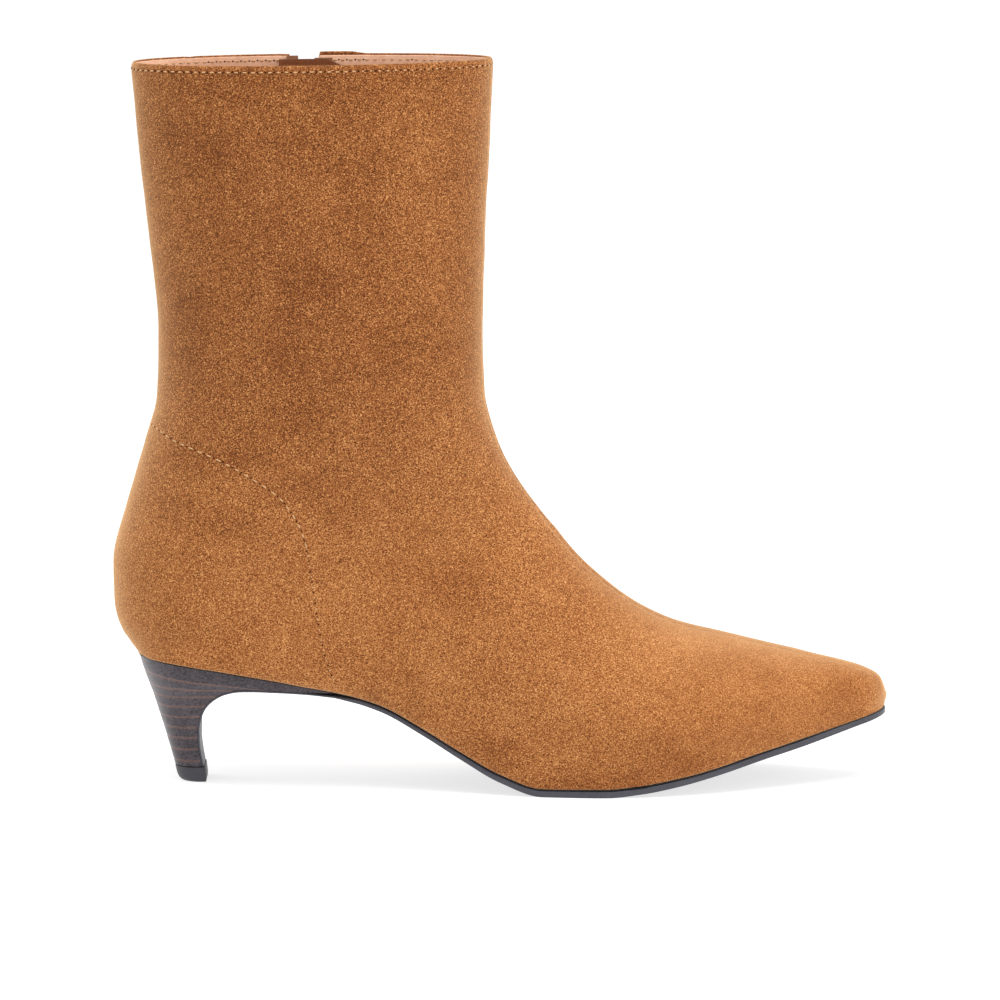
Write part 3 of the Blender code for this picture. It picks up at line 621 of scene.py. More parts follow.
class Nodes:
    """Short calls for the nodes that the materials share. All noise is laid out in the boot's own metres."""

    def __init__(self, made):
        self.tree = made.node_tree
        self.shader = made.node_tree.nodes["Principled BSDF"]
        self.places = self.tree.nodes.new("ShaderNodeTexCoord").outputs["Object"]

    def stretched(self, scale):
        """The boot's coordinates, scaled by a different amount each way."""
        mapping = self.tree.nodes.new("ShaderNodeMapping")
        mapping.inputs["Scale"].default_value = scale
        self.tree.links.new(self.places, mapping.inputs["Vector"])
        return mapping.outputs["Vector"]

    def noise(self, size, detail=2.0, rough=0.5, twist=0.0, places=None):
        """Noise whose blobs are about size millimetres."""
        made = self.tree.nodes.new("ShaderNodeTexNoise")
        made.inputs["Scale"].default_value = 1.0 / (size * MM)
        made.inputs["Detail"].default_value = detail
        made.inputs["Roughness"].default_value = rough
        made.inputs["Distortion"].default_value = twist
        self.tree.links.new(places or self.places, made.inputs["Vector"])
        return made.outputs["Fac"]

    def cells(self, size):
        made = self.tree.nodes.new("ShaderNodeTexVoronoi")
        made.inputs["Scale"].default_value = 1.0 / (size * MM)
        self.tree.links.new(self.places, made.inputs["Vector"])
        return made.outputs["Distance"]

    def attribute(self, name):
        made = self.tree.nodes.new("ShaderNodeAttribute")
        made.attribute_name = name
        return made.outputs["Fac"]

    def math(self, kind, a, b, c=None):
        made = self.tree.nodes.new("ShaderNodeMath")
        made.operation = kind
        for socket, value in zip(made.inputs, (a, b, c)):
            if isinstance(value, bpy.types.NodeSocket):
                self.tree.links.new(value, socket)
            elif value is not None:
                socket.default_value = value
        return made.outputs["Value"]

    def sum(self, start, *terms):
        """start plus each term's socket times its weight, with noise counted from its middle."""
        total = start
        for socket, weight, middle in terms:
            part = self.math("MULTIPLY", self.math("SUBTRACT", socket, middle), weight)
            total = self.math("ADD", total, part)
        return total

    def ramp(self, socket, *stops):
        """Colours by place: each stop is (place, colour)."""
        made = self.tree.nodes.new("ShaderNodeValToRGB")
        marks = made.color_ramp.elements
        while len(marks) < len(stops):
            marks.new(0.5)
        for mark, (place, colour) in zip(marks, stops):
            mark.position = place
            mark.color = (*colour, 1.0)
        self.tree.links.new(socket, made.inputs["Fac"])
        return made.outputs["Color"]

    def mix(self, share, first, second):
        """A colour between two others, each a socket or a fixed colour."""
        made = self.tree.nodes.new("ShaderNodeMix")
        made.data_type = "RGBA"
        self.tree.links.new(share, made.inputs[0])
        for socket, colour in ((made.inputs[6], first), (made.inputs[7], second)):
            if isinstance(colour, bpy.types.NodeSocket):
                self.tree.links.new(colour, socket)
            else:
                socket.default_value = (*colour, 1.0)
        return made.outputs[2]

    def feed(self, socket, name):
        self.tree.links.new(socket, self.shader.inputs[name])

    def colour(self, socket, *stops):
        self.feed(self.ramp(socket, *stops), "Base Color")

    def bump(self, height, strength, distance):
        """Bump of a height in millimetres."""
        made = self.tree.nodes.new("ShaderNodeBump")
        made.inputs["Strength"].default_value = strength
        made.inputs["Distance"].default_value = distance * MM
        self.tree.links.new(height, made.inputs["Height"])
        self.tree.links.new(made.outputs["Normal"], self.shader.inputs["Normal"])


def suede_material():
    """Brushed nap: a wormy speckle, soft clouds, and fibres that catch the light at grazing angles."""
    made = material("suede", (0.32, 0.110, 0.029), 0.92, Specular_IOR_Level=0.12, Sheen_Weight=1.0,
                    Sheen_Roughness=0.45, Sheen_Tint=(1.0, 0.65, 0.35, 1.0))
    nodes = Nodes(made)
    grain = nodes.noise(0.41, 1.0, 0.6, 0.9)
    tufts = nodes.noise(2.6, 3.0, 0.6)
    clouds = nodes.noise(17.0, 4.0, 0.62)
    edges = nodes.noise(6.0, 3.0, 0.6)
    broken = nodes.math("ADD", 0.35, nodes.math("MULTIPLY", edges, 1.3))
    # This attribute darkens the suede in the nap's patches and up the shaft, and lightens it with painted
    # light in the lighter patches.
    nap_and_painted_light = nodes.math("MULTIPLY", nodes.attribute("nap_and_painted_light"), broken)
    speckle = nodes.math("MULTIPLY", nodes.math("SUBTRACT", grain, 0.5), nodes.attribute("coarse"))
    shade = nodes.sum(0.52, (speckle, 3.1, 0.0), (tufts, 0.12, 0.5), (clouds, 0.28, 0.5), (nap_and_painted_light, -0.16, 0.0))
    nodes.colour(shade, (0.02, (0.083, 0.020, 0.0040)), (0.30, (0.20, 0.0575, 0.0125)),
                 (0.52, (0.318, 0.106, 0.0272)), (0.75, (0.452, 0.178, 0.053)),
                 (0.98, (0.65, 0.320, 0.118)))
    nodes.bump(nodes.sum(0.0, (speckle, 1.0, 0.0), (tufts, 0.2, 0.5)), 0.8, 0.17)
    return made


def lining_material():
    made = material("lining_leather", (0.55, 0.33, 0.23), 0.55, Specular_IOR_Level=0.35)
    nodes = Nodes(made)
    pores = nodes.cells(0.9)
    clouds = nodes.noise(14.0, 4.0, 0.6)
    fine = nodes.noise(1.4, 3.0, 0.6)
    shade = nodes.sum(0.5, (clouds, 0.8, 0.5), (fine, 0.4, 0.5))
    nodes.colour(shade, (0.2, (0.56, 0.30, 0.18)), (0.5, (0.72, 0.42, 0.27)),
                 (0.8, (0.85, 0.56, 0.40)))
    nodes.bump(nodes.sum(0.0, (pores, 1.0, 0.5), (fine, 0.6, 0.5)), 0.35, 0.10)
    return made


def insole_material():
    made = material("insole_leather", (0.50, 0.30, 0.20), 0.5, Specular_IOR_Level=0.4)
    nodes = Nodes(made)
    pores = nodes.cells(0.7)
    clouds = nodes.noise(22.0, 4.0, 0.6)
    shade = nodes.sum(0.5, (clouds, 0.9, 0.5), (nodes.noise(1.2, 3.0), 0.3, 0.5))
    nodes.colour(shade, (0.2, (0.37, 0.20, 0.125)), (0.5, (0.49, 0.285, 0.19)),
                 (0.8, (0.60, 0.38, 0.27)))
    nodes.bump(pores, 0.3, 0.08)
    return made


def sole_material():
    made = material("sole_composite", (0.060, 0.060, 0.072), 0.42, Specular_IOR_Level=0.25)
    nodes = Nodes(made)
    fine = nodes.noise(0.9, 3.0, 0.6)
    clouds = nodes.noise(12.0, 3.0)
    shade = nodes.sum(0.5, (fine, 0.5, 0.5), (clouds, 0.6, 0.5))
    nodes.colour(shade, (0.2, (0.045, 0.045, 0.056)), (0.8, (0.085, 0.085, 0.102)))
    nodes.feed(nodes.sum(0.42, (clouds, 0.25, 0.5)), "Roughness")
    nodes.bump(fine, 0.25, 0.06)
    return made


def heel_material():
    """Dark layers of pressed leather with thin brown joints, under a smooth finish."""
    made = material("stacked_heel", (0.070, 0.063, 0.075), 0.36, Specular_IOR_Level=0.3, Coat_Weight=0.18,
                    Coat_Roughness=0.28)
    nodes = Nodes(made)
    speck = nodes.noise(0.80, 3.0, 0.7, 0.8, nodes.stretched((0.8, 0.8, 1.3)))
    clouds = nodes.noise(7.0, 3.0)
    dark = nodes.ramp(nodes.sum(0.5, (speck, 2.4, 0.5), (clouds, 0.4, 0.5)),
                      (0.2, (0.010, 0.008, 0.013)), (0.8, (0.078, 0.060, 0.070)))
    brown = nodes.ramp(nodes.sum(0.5, (speck, 1.6, 0.5)),
                       (0.2, (0.070, 0.037, 0.033)), (0.8, (0.165, 0.092, 0.078)))
    nodes.feed(nodes.mix(nodes.attribute("joint"), dark, brown), "Base Color")
    nodes.feed(nodes.sum(0.36, (clouds, 0.15, 0.5), (speck, 0.1, 0.5)), "Roughness")
    nodes.bump(speck, 0.2, 0.05)
    return made


def rubber_material():
    made = material("lift_rubber", (0.055, 0.055, 0.065), 0.5, Specular_IOR_Level=0.4)
    nodes = Nodes(made)
    fine = nodes.noise(0.6, 2.0)
    nodes.colour(nodes.sum(0.5, (fine, 0.6, 0.5)), (0.2, (0.035, 0.035, 0.042)),
                 (0.8, (0.058, 0.058, 0.068)))
    nodes.bump(fine, 0.2, 0.05)
    return made


def thread_material(name, colour):
    made = material(name, colour, 0.6, Specular_IOR_Level=0.3, Sheen_Weight=0.2)
    nodes = Nodes(made)
    twist = nodes.noise(0.25, 1.0)
    nodes.colour(twist, (0.3, tuple(0.72 * c for c in colour)), (0.7, colour))
    nodes.bump(twist, 0.4, 0.05)
    return made


# Needle holes: their dark colour is painted shade inside the holes.
def hole_shade_material():
    made = material("needle_hole_shade", (0.06, 0.020, 0.008), 1.0, Specular_IOR_Level=0.0)
    nodes = Nodes(made)
    nodes.colour(nodes.noise(0.3), (0.3, (0.040, 0.013, 0.005)), (0.7, (0.085, 0.030, 0.012)))
    return made


def woven_material(name, dark, light, thread):
    """Plain weave of threads that run along and across the strip."""
    made = material(name, light, 0.85, Specular_IOR_Level=0.2, Sheen_Weight=0.2)
    nodes = Nodes(made)
    across = nodes.tree.nodes.new("ShaderNodeTexWave")
    across.bands_direction = "X"
    along = nodes.tree.nodes.new("ShaderNodeTexWave")
    along.bands_direction = "Z"
    for wave in (across, along):
        wave.inputs["Scale"].default_value = 1.0 / (thread * MM) / 3.2
        wave.inputs["Distortion"].default_value = 0.6
        wave.inputs["Detail"].default_value = 1.0
        nodes.tree.links.new(nodes.places, wave.inputs["Vector"])
    weave = nodes.math("MULTIPLY", across.outputs["Fac"], along.outputs["Fac"])
    shade = nodes.sum(0.2, (weave, 0.7, 0.0), (nodes.noise(1.5, 3.0), 0.5, 0.5))
    nodes.colour(shade, (0.1, dark), (0.8, light))
    nodes.bump(weave, 0.5, 0.12)
    return made


def coil_material():
    made = material("zip_nylon", (0.28, 0.125, 0.052), 0.38, Specular_IOR_Level=0.5)
    nodes = Nodes(made)
    nodes.colour(nodes.noise(2.0, 3.0), (0.3, (0.24, 0.105, 0.042)), (0.7, (0.33, 0.15, 0.065)))
    nodes.bump(nodes.noise(0.4), 0.15, 0.04)
    return made


def metal_material():
    made = material("brushed_metal", (0.60, 0.52, 0.40), 0.28, Metallic=1.0)
    nodes = Nodes(made)
    brushed = nodes.noise(0.5, 2.0, 0.5, 0.0, nodes.stretched((4.0, 4.0, 0.4)))
    clouds = nodes.noise(5.0, 3.0)
    nodes.colour(clouds, (0.3, (0.54, 0.46, 0.35)), (0.7, (0.66, 0.58, 0.46)))
    nodes.feed(nodes.sum(0.28, (brushed, 0.2, 0.5), (clouds, 0.15, 0.5)), "Roughness")
    nodes.bump(brushed, 0.08, 0.02)
    return made


def floor_material():
    """A floor that glows a little, so that it stays white and its shadows stay faint."""
    made = material("pale_floor", (0.45, 0.45, 0.45), 0.9, Specular_IOR_Level=0.1, Emission_Strength=0.70,
                    Emission_Color=(1.0, 1.0, 1.0, 1.0))
    nodes = Nodes(made)
    nodes.colour(nodes.noise(400.0, 2.0), (0.3, (0.445, 0.445, 0.445)), (0.7, (0.455, 0.455, 0.455)))
    return made


def add_piece(name, points, faces, paint, slot=None, body="boot", replaces=(), values=None, sharp=50.0):
    """A piece of the scene from points in millimetres, with values as named numbers at its points."""
    used = sorted({k for face in faces for k in face})
    number = {old: new for new, old in enumerate(used)}
    placed = [((x - ORIGIN_X) * MM, (y - ORIGIN_Y) * MM, z * MM) for x, y, z in (points[k] for k in used)]
    mesh = bpy.data.meshes.new(name)
    mesh.from_pydata(placed, [], [tuple(number[k] for k in face) for face in faces])
    work = bmesh.new()
    work.from_mesh(mesh)
    bmesh.ops.recalc_face_normals(work, faces=work.faces)
    work.to_mesh(mesh)
    work.free()
    for key, numbers in (values or {}).items():
        layer = mesh.attributes.new(key, "FLOAT", "POINT")
        layer.data.foreach_set("value", [float(numbers[k]) for k in used])
    mesh.materials.append(paint)
    mesh.shade_smooth()
    mesh.set_sharp_from_angle(angle=math.radians(sharp))
    made = bpy.data.objects.new(name, mesh)
    bpy.context.scene.collection.objects.link(made)
    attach(made, body)
    if replaces:
        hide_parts(*replaces)
    return made


class SkinGrid:
    """Points on the upper's skin: rows of sections, and columns from the outer foot to the inner foot."""

    def __init__(self, rows, low_count, high_count, slit_count):
        self.rows = rows
        self.crest = low_count + high_count
        self.slit = (self.crest + high_count - slit_count, self.crest + high_count)
        self.points = np.array([self.row_points(u, low_count, high_count, slit_count) for u in rows])
        self.columns = self.points.shape[1]
        self.wrapped = [i for i, u in enumerate(rows) if u <= HEEL_POINT]
        self.normals = self.find_normals()

    def row_points(self, u, low_count, high_count, slit_count):
        at = section(u)
        outer = steps(0.0, 0.5, low_count) + steps(0.5, 1.0, high_count)[1:]
        rear, front = zip_edges(at, u)
        inner = steps(0.0, rear, low_count) + steps(rear, front, slit_count)[1:]
        inner += steps(front, 1.0, high_count - slit_count)[1:]
        columns = [("outer", w) for w in outer] + [("inner", w) for w in inner[-2::-1]]
        return [along_side(at, side, w) for side, w in columns]

    def find_normals(self):
        down = np.gradient(self.points, axis=0)
        round_boot = np.gradient(self.points, axis=1)
        normals = np.cross(round_boot, down)
        lengths = np.linalg.norm(normals, axis=2, keepdims=True)
        normals = normals / np.maximum(lengths, 1e-9)
        middles = (self.points[:, :1] + self.points[:, self.crest:self.crest + 1]) / 2.0
        facing = np.sum(normals * (self.points - middles))
        normals *= 1.0 if facing > 0.0 else -1.0
        for i in self.wrapped:
            both = normals[i, 0] + normals[i, -1]
            normals[i, 0] = normals[i, -1] = both / np.linalg.norm(both)
        return normals

    def crest_distance(self):
        """Distance of every point from the crest, measured round the boot: plus on the outer side."""
        gaps = np.linalg.norm(np.diff(self.points, axis=1), axis=2)
        along = np.concatenate((np.zeros((len(self.rows), 1)), np.cumsum(gaps, axis=1)), axis=1)
        return along[:, self.crest:self.crest + 1] - along

    def sheet(self, depth, thick, lowered=0.0):
        """Points and faces of a closed sheet under the skin, with its cut or folded edges rounded."""
        count_rows, count = self.points.shape[:2]
        number = np.arange(count_rows * count).reshape(count_rows, count)
        for i in self.wrapped:
            number[i, -1] = number[i, 0]
        zip_rows = sum(1 for u in self.rows if u < ZIP_END)
        faces = []
        for i in range(count_rows - 1):
            for j in range(count - 1):
                if not (i < zip_rows and self.slit[0] <= j < self.slit[1]):
                    face = (number[i, j], number[i, j + 1], number[i + 1, j + 1], number[i + 1, j])
                    faces.append(tuple(int(k) for k in face))
        for j in range(self.crest):
            other = count - 1 - j
            face = (number[-1, j], number[-1, j + 1], number[-1, other - 1], number[-1, other])
            faces.append(tuple(dict.fromkeys(int(k) for k in face)))
        outer = (self.points - self.normals * depth).reshape(-1, 3)
        inner = (self.points - self.normals * (depth + thick)).reshape(-1, 3)
        foot = {int(number[i, j]) for i, u in enumerate(self.rows) if u >= HEEL_POINT for j in (0, count - 1)}
        return close_sheet(outer, inner, faces, foot)


def close_sheet(outer, inner, faces, flat):
    """Joins two sheets with the same faces into one solid; its edges are half round, or flatter at flat."""
    count = len(outer)
    uses = {}
    for face in faces:
        for a, b in zip(face, face[1:] + face[:1]):
            uses[a, b] = face
    rim = [(a, b, face) for (a, b), face in uses.items() if (b, a) not in uses]
    away = {}
    for a, b, face in rim:
        middle = (outer[a] + outer[b]) / 2.0
        out = middle - np.mean([outer[k] for k in face], axis=0)
        edge = unit(outer[b] - outer[a])
        out = out - edge * np.dot(out, edge)
        out = unit(out)
        for k in (a, b):
            away[k] = away.get(k, 0.0) + out
    points = [*outer, *inner]
    rings = {}
    for k, out in away.items():
        middle = (outer[k] + inner[k]) / 2.0
        half = (outer[k] - inner[k]) / 2.0
        thick = np.linalg.norm(half)
        ids = [k]
        for turn in (45.0, 90.0, 135.0):
            a = math.radians(turn)
            ids.append(len(points))
            roll = FLAT_ROLL if k in flat else 1.0
            points.append(middle + half * math.cos(a) + unit(out) * thick * roll * math.sin(a))
        rings[k] = ids + [k + count]
    made = list(faces) + [tuple(k + count for k in reversed(face)) for face in faces]
    for a, b, _ in rim:
        for m in range(4):
            made.append((rings[b][m], rings[a][m], rings[a][m + 1], rings[b][m + 1]))
    return np.array(points), made


def nap_and_painted_light_at(point, side):
    """How dark the suede is at a place: the brushed nap's patches seen from the outer side, darker up the
    shaft, and painted light in the lighter patches.
    """
    x, _, z = point
    if side > 0.0:
        x, z = x - MEDIAL_PATCH_SHIFT[0], z - MEDIAL_PATCH_SHIFT[1]
    total = SHAFT_DARKER * smooth((point[2] - SHAFT_DARKER_FROM) / SHAFT_DARKER_OVER)
    for patch in PATCHES:
        reach = ((x - patch.x) / patch.along) ** 2 + ((z - patch.z) / patch.up) ** 2
        if reach < 9.0:
            total += patch.dark * math.exp(-reach)
    return total


def coarse_at(point):
    """How coarse the nap is: it gets finer from the shaft down to the foot, and out to the toe."""
    x, _, z = point
    foot = smooth((FOOT_FINE_BELOW - z) / FOOT_FINE_OVER)
    toe = smooth((x - TOE_FINE_FROM) / TOE_FINE_OVER)
    return 1.0 - FOOT_FINE * foot - TOE_FINE * toe


def swell(place):
    """The slight unevenness of soft suede, a little more of it near the rim."""
    near_rim = smooth((place[2] - RIM_SWELL_FROM) / (SHAFT_HEIGHT - RIM_SWELL_FROM))
    wide = WIDE_BUMPS.height * noise.noise(place / WIDE_BUMPS.size)
    fine = FINE_BUMPS.height * noise.noise(place / FINE_BUMPS.size)
    return wide + fine + RIM_BUMPS.height * near_rim * noise.noise(place / RIM_BUMPS.size)


def ease_heel_corner(grid):
    """Rounds the skin where its rows turn from the heel's back to the lower edge; the edge itself stays."""
    near = np.array([smooth(1.0 - abs(u - HEEL_POINT) / CORNER_ROWS) for u in grid.rows])
    from_edge = [min(j, grid.columns - 1 - j) for j in range(grid.columns)]
    low = np.array([smooth(1.0 - j / CORNER_COLUMNS) if j else 0.0 for j in from_edge])
    weight = CORNER_PULL * near[1:-1, None, None] * low[None, :, None]
    for _ in range(CORNER_ROUNDS):
        middle = (grid.points[:-2] + grid.points[2:]) / 2.0
        grid.points[1:-1] += weight * (middle - grid.points[1:-1])
    grid.normals = grid.find_normals()


def groove(kind, gap, fade, dimple=0.0):
    """How far a seam's groove and the low ridges beside it move the skin at a distance from the seam."""
    dip = (kind.depth + kind.dimple * dimple) * fade * np.exp(-(gap / kind.width) ** 2)
    beside = (np.abs(gap) - kind.ridge_off) / kind.ridge_width
    return kind.ridge * fade * np.exp(-beside ** 2) - dip


def shape_skin(grid):
    """Moves the skin's points for its seams, rim, lower edge and the slight unevenness of soft suede."""
    crest = grid.crest_distance()
    points, normals = grid.points, grid.normals
    down_front = run_along(points[:, grid.crest])
    moved = points.copy()
    rear_end = locate(*REAR_SEAM_END)[0]
    for i, u in enumerate(grid.rows):
        feather = smooth((u - HEEL_POINT) / FOOT_TUCK_ROWS)
        from_foot = np.linalg.norm(points[i] - points[i, 0], axis=1)
        from_other = np.linalg.norm(points[i] - points[i, -1], axis=1)
        foot = np.minimum(from_foot, from_other)
        dimple = 0.5 + 0.5 * math.cos(2.0 * math.pi * down_front[i] / FRONT_DIMPLES)
        outward = smooth((u - FRONT_SEAM_FROM) / FRONT_SEAM_OVER)
        seam_off = FRONT_SEAM_OFF * (FRONT_SEAM_TOP_SHARE + (1.0 - FRONT_SEAM_TOP_SHARE) * outward)
        fade = 1.0 - FRONT_FADE * smooth((u - FRONT_FADE_FROM) / FRONT_FADE_OVER)
        fade *= 1.0 - smooth((u - TOE_BAND) / FRONT_END_OVER)
        lift = groove(FRONT_GROOVE, crest[i] - seam_off, fade, dimple)
        if u < rear_end:
            x_seam = REAR_SEAM_TOP + REAR_SEAM_LEAN * u / rear_end
            fade = 1.0 - smooth((u - rear_end + REAR_SEAM_FADE) / REAR_SEAM_FADE)
            rear = groove(REAR_GROOVE, points[i, :, 0] - x_seam, fade)
            lift = lift + np.where(points[i, :, 1] > 0.0, rear, 0.0)
        calm = 1.0 - smooth((u - TOE_CALM_FROM) / TOE_CALM_OVER) * np.exp(-(foot / TOE_CALM_REACH) ** 2)
        lift = lift + calm * np.array([swell(place) for place in points[i]])
        lift = lift - COLLAR_DIP * math.exp(-((u - COLLAR_STITCH) / COLLAR_DIP_ROWS) ** 2)
        lift = lift - FOOT_TUCK * feather * calm * np.exp(-(foot / FOOT_TUCK_REACH) ** 2)
        lift = lift - RIM_PULL * max(0.0, 1.0 - (u - RIM_START) / RIM_PULL_OVER) ** 2
        moved[i] = points[i] + normals[i] * lift[:, None]
        x, on_inner = points[i, :, 0], points[i, :, 1] > 0.0
        near_rim = smooth(1.0 - u / FRONT_FLAP_ROWS)
        raised = [FRONT_FLAP_RISE * smooth((FRONT_FLAP_END - place) / FRONT_FLAP_OVER) for place in x]
        notch = -REAR_NOTCH * np.exp(-((x - REAR_SEAM_TOP) / REAR_NOTCH_REACH) ** 2)
        raised = np.where(x > ZIP_REAR_X, raised, notch)
        moved[i, :, 2] += np.where(on_inner, raised * near_rim, 0.0)
    grid.points = moved
    for i in grid.wrapped:
        moved[i, 0] = moved[i, -1] = (moved[i, 0] + moved[i, -1]) / 2.0
    grid.normals = grid.find_normals()


def make_upper(paint):
    rows = rows_through(RIM_START, (RIM_BAND, FINE_SPACING), (ZIP_END, SKIN_SPACING),
                        (HEEL_POINT, SKIN_SPACING), (TOE_BAND, SKIN_SPACING), (LAST_ROW, FINE_SPACING))
    grid = SkinGrid(rows, *SKIN_COLUMNS)
    ease_heel_corner(grid)
    shape_skin(grid)
    points, faces = grid.sheet(0.0, SUEDE_THICK)
    # Per point: the nap's dark patches, the darker shaft, and painted light in the lighter patches.
    nap_and_painted_light = [nap_and_painted_light_at(point, point[1]) for point in points]
    coarse = [coarse_at(point) for point in points]
    add_piece("upper_suede", points, faces, paint, "suede", replaces=["upper"],
              values={"nap_and_painted_light": nap_and_painted_light, "coarse": coarse}, sharp=70.0)
    return grid


def make_lining(paint):
    rows = rows_through(LINING_START, *[(end, LINING_SPACING) for end in (ZIP_END, HEEL_POINT, LINING_END)])
    grid = SkinGrid(rows, *LINING_COLUMNS)
    points, faces = grid.sheet(LINING_DEPTH, LINING_THICK)
    return add_piece("upper_lining", points, faces, paint, "lining", sharp=70.0)


def loft(loops):
    """Points and faces of a closed solid through loops of equal length, with both ends filled."""
    size = len(loops[0])
    points = [point for loop in loops for point in loop]
    faces = [tuple(range(size)), tuple(range(len(points) - size, len(points)))]
    for i in range(len(loops) - 1):
        for j in range(size):
            k = (j + 1) % size
            faces.append((i * size + j, i * size + k, (i + 1) * size + k, (i + 1) * size + j))
    return points, faces


def rounded_band(outer, inner, low, top, radius, arc=4):
    """A loop of (across, up) pairs: a band from outer to inner with its four corners rounded."""
    radius = min(radius, (top - low) / 2.05, abs(inner - outer) / 2.05)
    loop = []
    corners = ((inner - radius, top - radius, 90.0), (outer + radius, top - radius, 180.0),
               (outer + radius, low + radius, 270.0), (inner - radius, low + radius, 360.0))
    for across, up, end in corners:
        for turn in steps(end - 90.0, end, arc):
            a = math.radians(turn)
            loop.append((across + radius * math.cos(a), up + radius * math.sin(a)))
    return loop


def sole_thickness(x):
    return pchip([row.x for row in SOLE_THICKNESS], [row.thick for row in SOLE_THICKNESS], x)


def flap_frame(k):
    """Point and inward normal of the flap's outer face at row k of its table."""
    here = np.array([by_row(FLAP, "x", k), by_row(FLAP, "z", k)])
    small = 0.02
    before, after = max(0.0, k - small), min(len(FLAP) - 1.0, k + small)
    way = unit(np.array([by_row(FLAP, "x", after) - by_row(FLAP, "x", before),
                         by_row(FLAP, "z", after) - by_row(FLAP, "z", before)]))
    return here, np.array([way[1], -way[0]])


def flap_reach(k):
    """The flap's half widths to the outer and inner side at row k of its table."""
    return by_row(FLAP, "outer", k), by_row(FLAP, "inner", k)


def make_sole(paint):
    loops = []
    rows = rows_through(SOLE_ROW, (SOLE_BAND, 2.0), (LAST_ROW, 0.6))
    places = [section(u)["low_x"] for u in rows]
    for x in [places[-1] + SOLE_LIP] + places[::-1]:
        outer, inner = outline(x, -SOLE_LIP)
        top = by_x("z", x) - FIT_GAP
        loop = rounded_band(outer, inner, top - sole_thickness(x), top, SOLE_EDGE)
        loops.append([(x, y, z) for y, z in loop])
    for k in steps(0.0, len(FLAP) - 1.0, FLAP_STEPS):
        here, inward = flap_frame(k)
        outer, inner = flap_reach(k)
        loop = rounded_band(-outer, inner, 0.0, SOLE_FLAP, FLAP_EDGE)
        loops.append([(here[0] + inward[0] * up, y, here[1] + inward[1] * up) for y, up in loop])
    points, faces = loft(loops)
    return add_piece("sole", points, faces, paint, "sole", replaces=["outsole"])


def tube(route, radius, sides=6):
    """Points and faces of a closed round tube along a route of points."""
    loops = []
    for i, place in enumerate(route):
        way = unit(route[min(i + 1, len(route) - 1)] - route[max(i - 1, 0)])
        side = unit(np.cross(way, (0.0, 0.0, 1.0)))
        up = np.cross(side, way)
        loops.append([place + (side * math.cos(a) + up * math.sin(a)) * radius
                      for a in steps(0.0, 2.0 * math.pi, sides)[:-1]])
    return loft(loops)


def make_feather_shadow_line(paint, grid):
    """The dark line of cement and painted shadow under the suede's lower edge, from the heel round the toe
    and back.
    """
    first = sum(1 for u in grid.rows if u < HEEL_POINT)
    tuck = [1.0 - smooth((u - HEEL_POINT) / FEATHER_LINE_TUCK_ROWS) for u in grid.rows]
    out = np.array([FEATHER_LINE_OUT - FEATHER_LINE_TUCK * share for share in tuck])
    edge = grid.points + grid.normals * out[:, None, None] - np.array((0.0, 0.0, FEATHER_LINE_DROP))
    route = list(edge[first:, 0]) + list(edge[:first - 1:-1, -1])
    points, faces = tube(route, FEATHER_LINE_RADIUS)
    return add_piece("feather_shadow_line", points, faces, paint, "sole")


def heel_layer(k, front_steps=14, back_steps=26):
    """A loop of the heel block: from the breast along the outer side, round the back, and to the breast."""
    row = Layer(*[by_row(LAYERS, name, k) for name in Layer._fields])
    here, inward = flap_frame(row.breast)
    front = here + inward * (SOLE_FLAP + HEEL_GAP)
    reach = dict(zip(("outer", "inner"), flap_reach(row.breast)))
    round_share = row.round / (front[0] - row.back_x)
    sides = {"outer": [], "inner": []}
    for side, sign in (("outer", -1.0), ("inner", 1.0)):
        for m in range(front_steps + back_steps):
            if m < front_steps:
                r = (1.0 - round_share) * m / front_steps
                half = reach[side] + (row.half - reach[side]) * math.sin(m / front_steps * math.pi / 2.0)
            else:
                turn = (m - front_steps) / back_steps * math.pi / 2.0
                r = 1.0 - round_share * (1.0 - math.sin(turn))
                half = row.half * math.cos(turn)
            x = front[0] + (row.back_x - front[0]) * r
            z = front[1] + (row.back_z - front[1]) * r
            if k == 0:
                z = by_x("z", x) - FIT_GAP
            sides[side].append((x, sign * half, z))
    back_z = by_x("z", row.back_x) - FIT_GAP if k == 0 else row.back_z
    share = (JOINT_LINE_X - front[0]) / (row.back_x - front[0])
    level = front[1] + (row.back_z - front[1]) * share
    return np.array(sides["outer"] + [(row.back_x, 0.0, back_z)] + sides["inner"][::-1]), level


def make_heel(paint):
    """The stack of layers: joints show as thin brown lines, each in a slight groove."""
    seat, seat_level = heel_layer(0)
    first, first_level = heel_layer(SEAT_BLEND)
    loops, joints = [], []
    for k in steps(0.0, len(LAYERS) - 1.0, HEEL_STEPS):
        if k < SEAT_BLEND:
            loop = seat + (first - seat) * k / SEAT_BLEND
            level = seat_level + (first_level - seat_level) * k / SEAT_BLEND
        else:
            loop, level = heel_layer(k)
        joint = sum(math.exp(-((level - height) / JOINT_HALF) ** 2) for height in JOINT_HEIGHTS)
        middle = loop.mean(axis=0)
        ways = loop - middle
        ways[:, 2] = 0.0
        loop = loop - ways / np.linalg.norm(ways, axis=1, keepdims=True) * JOINT_GROOVE * joint
        loops.append([tuple(p) for p in loop])
        joints += [min(1.0, joint)] * len(loop)
    points, faces = loft(loops)
    return add_piece("stacked_heel", points, faces, paint, "stacked_heel", replaces=["heel"],
                     values={"joint": joints}, sharp=60.0)


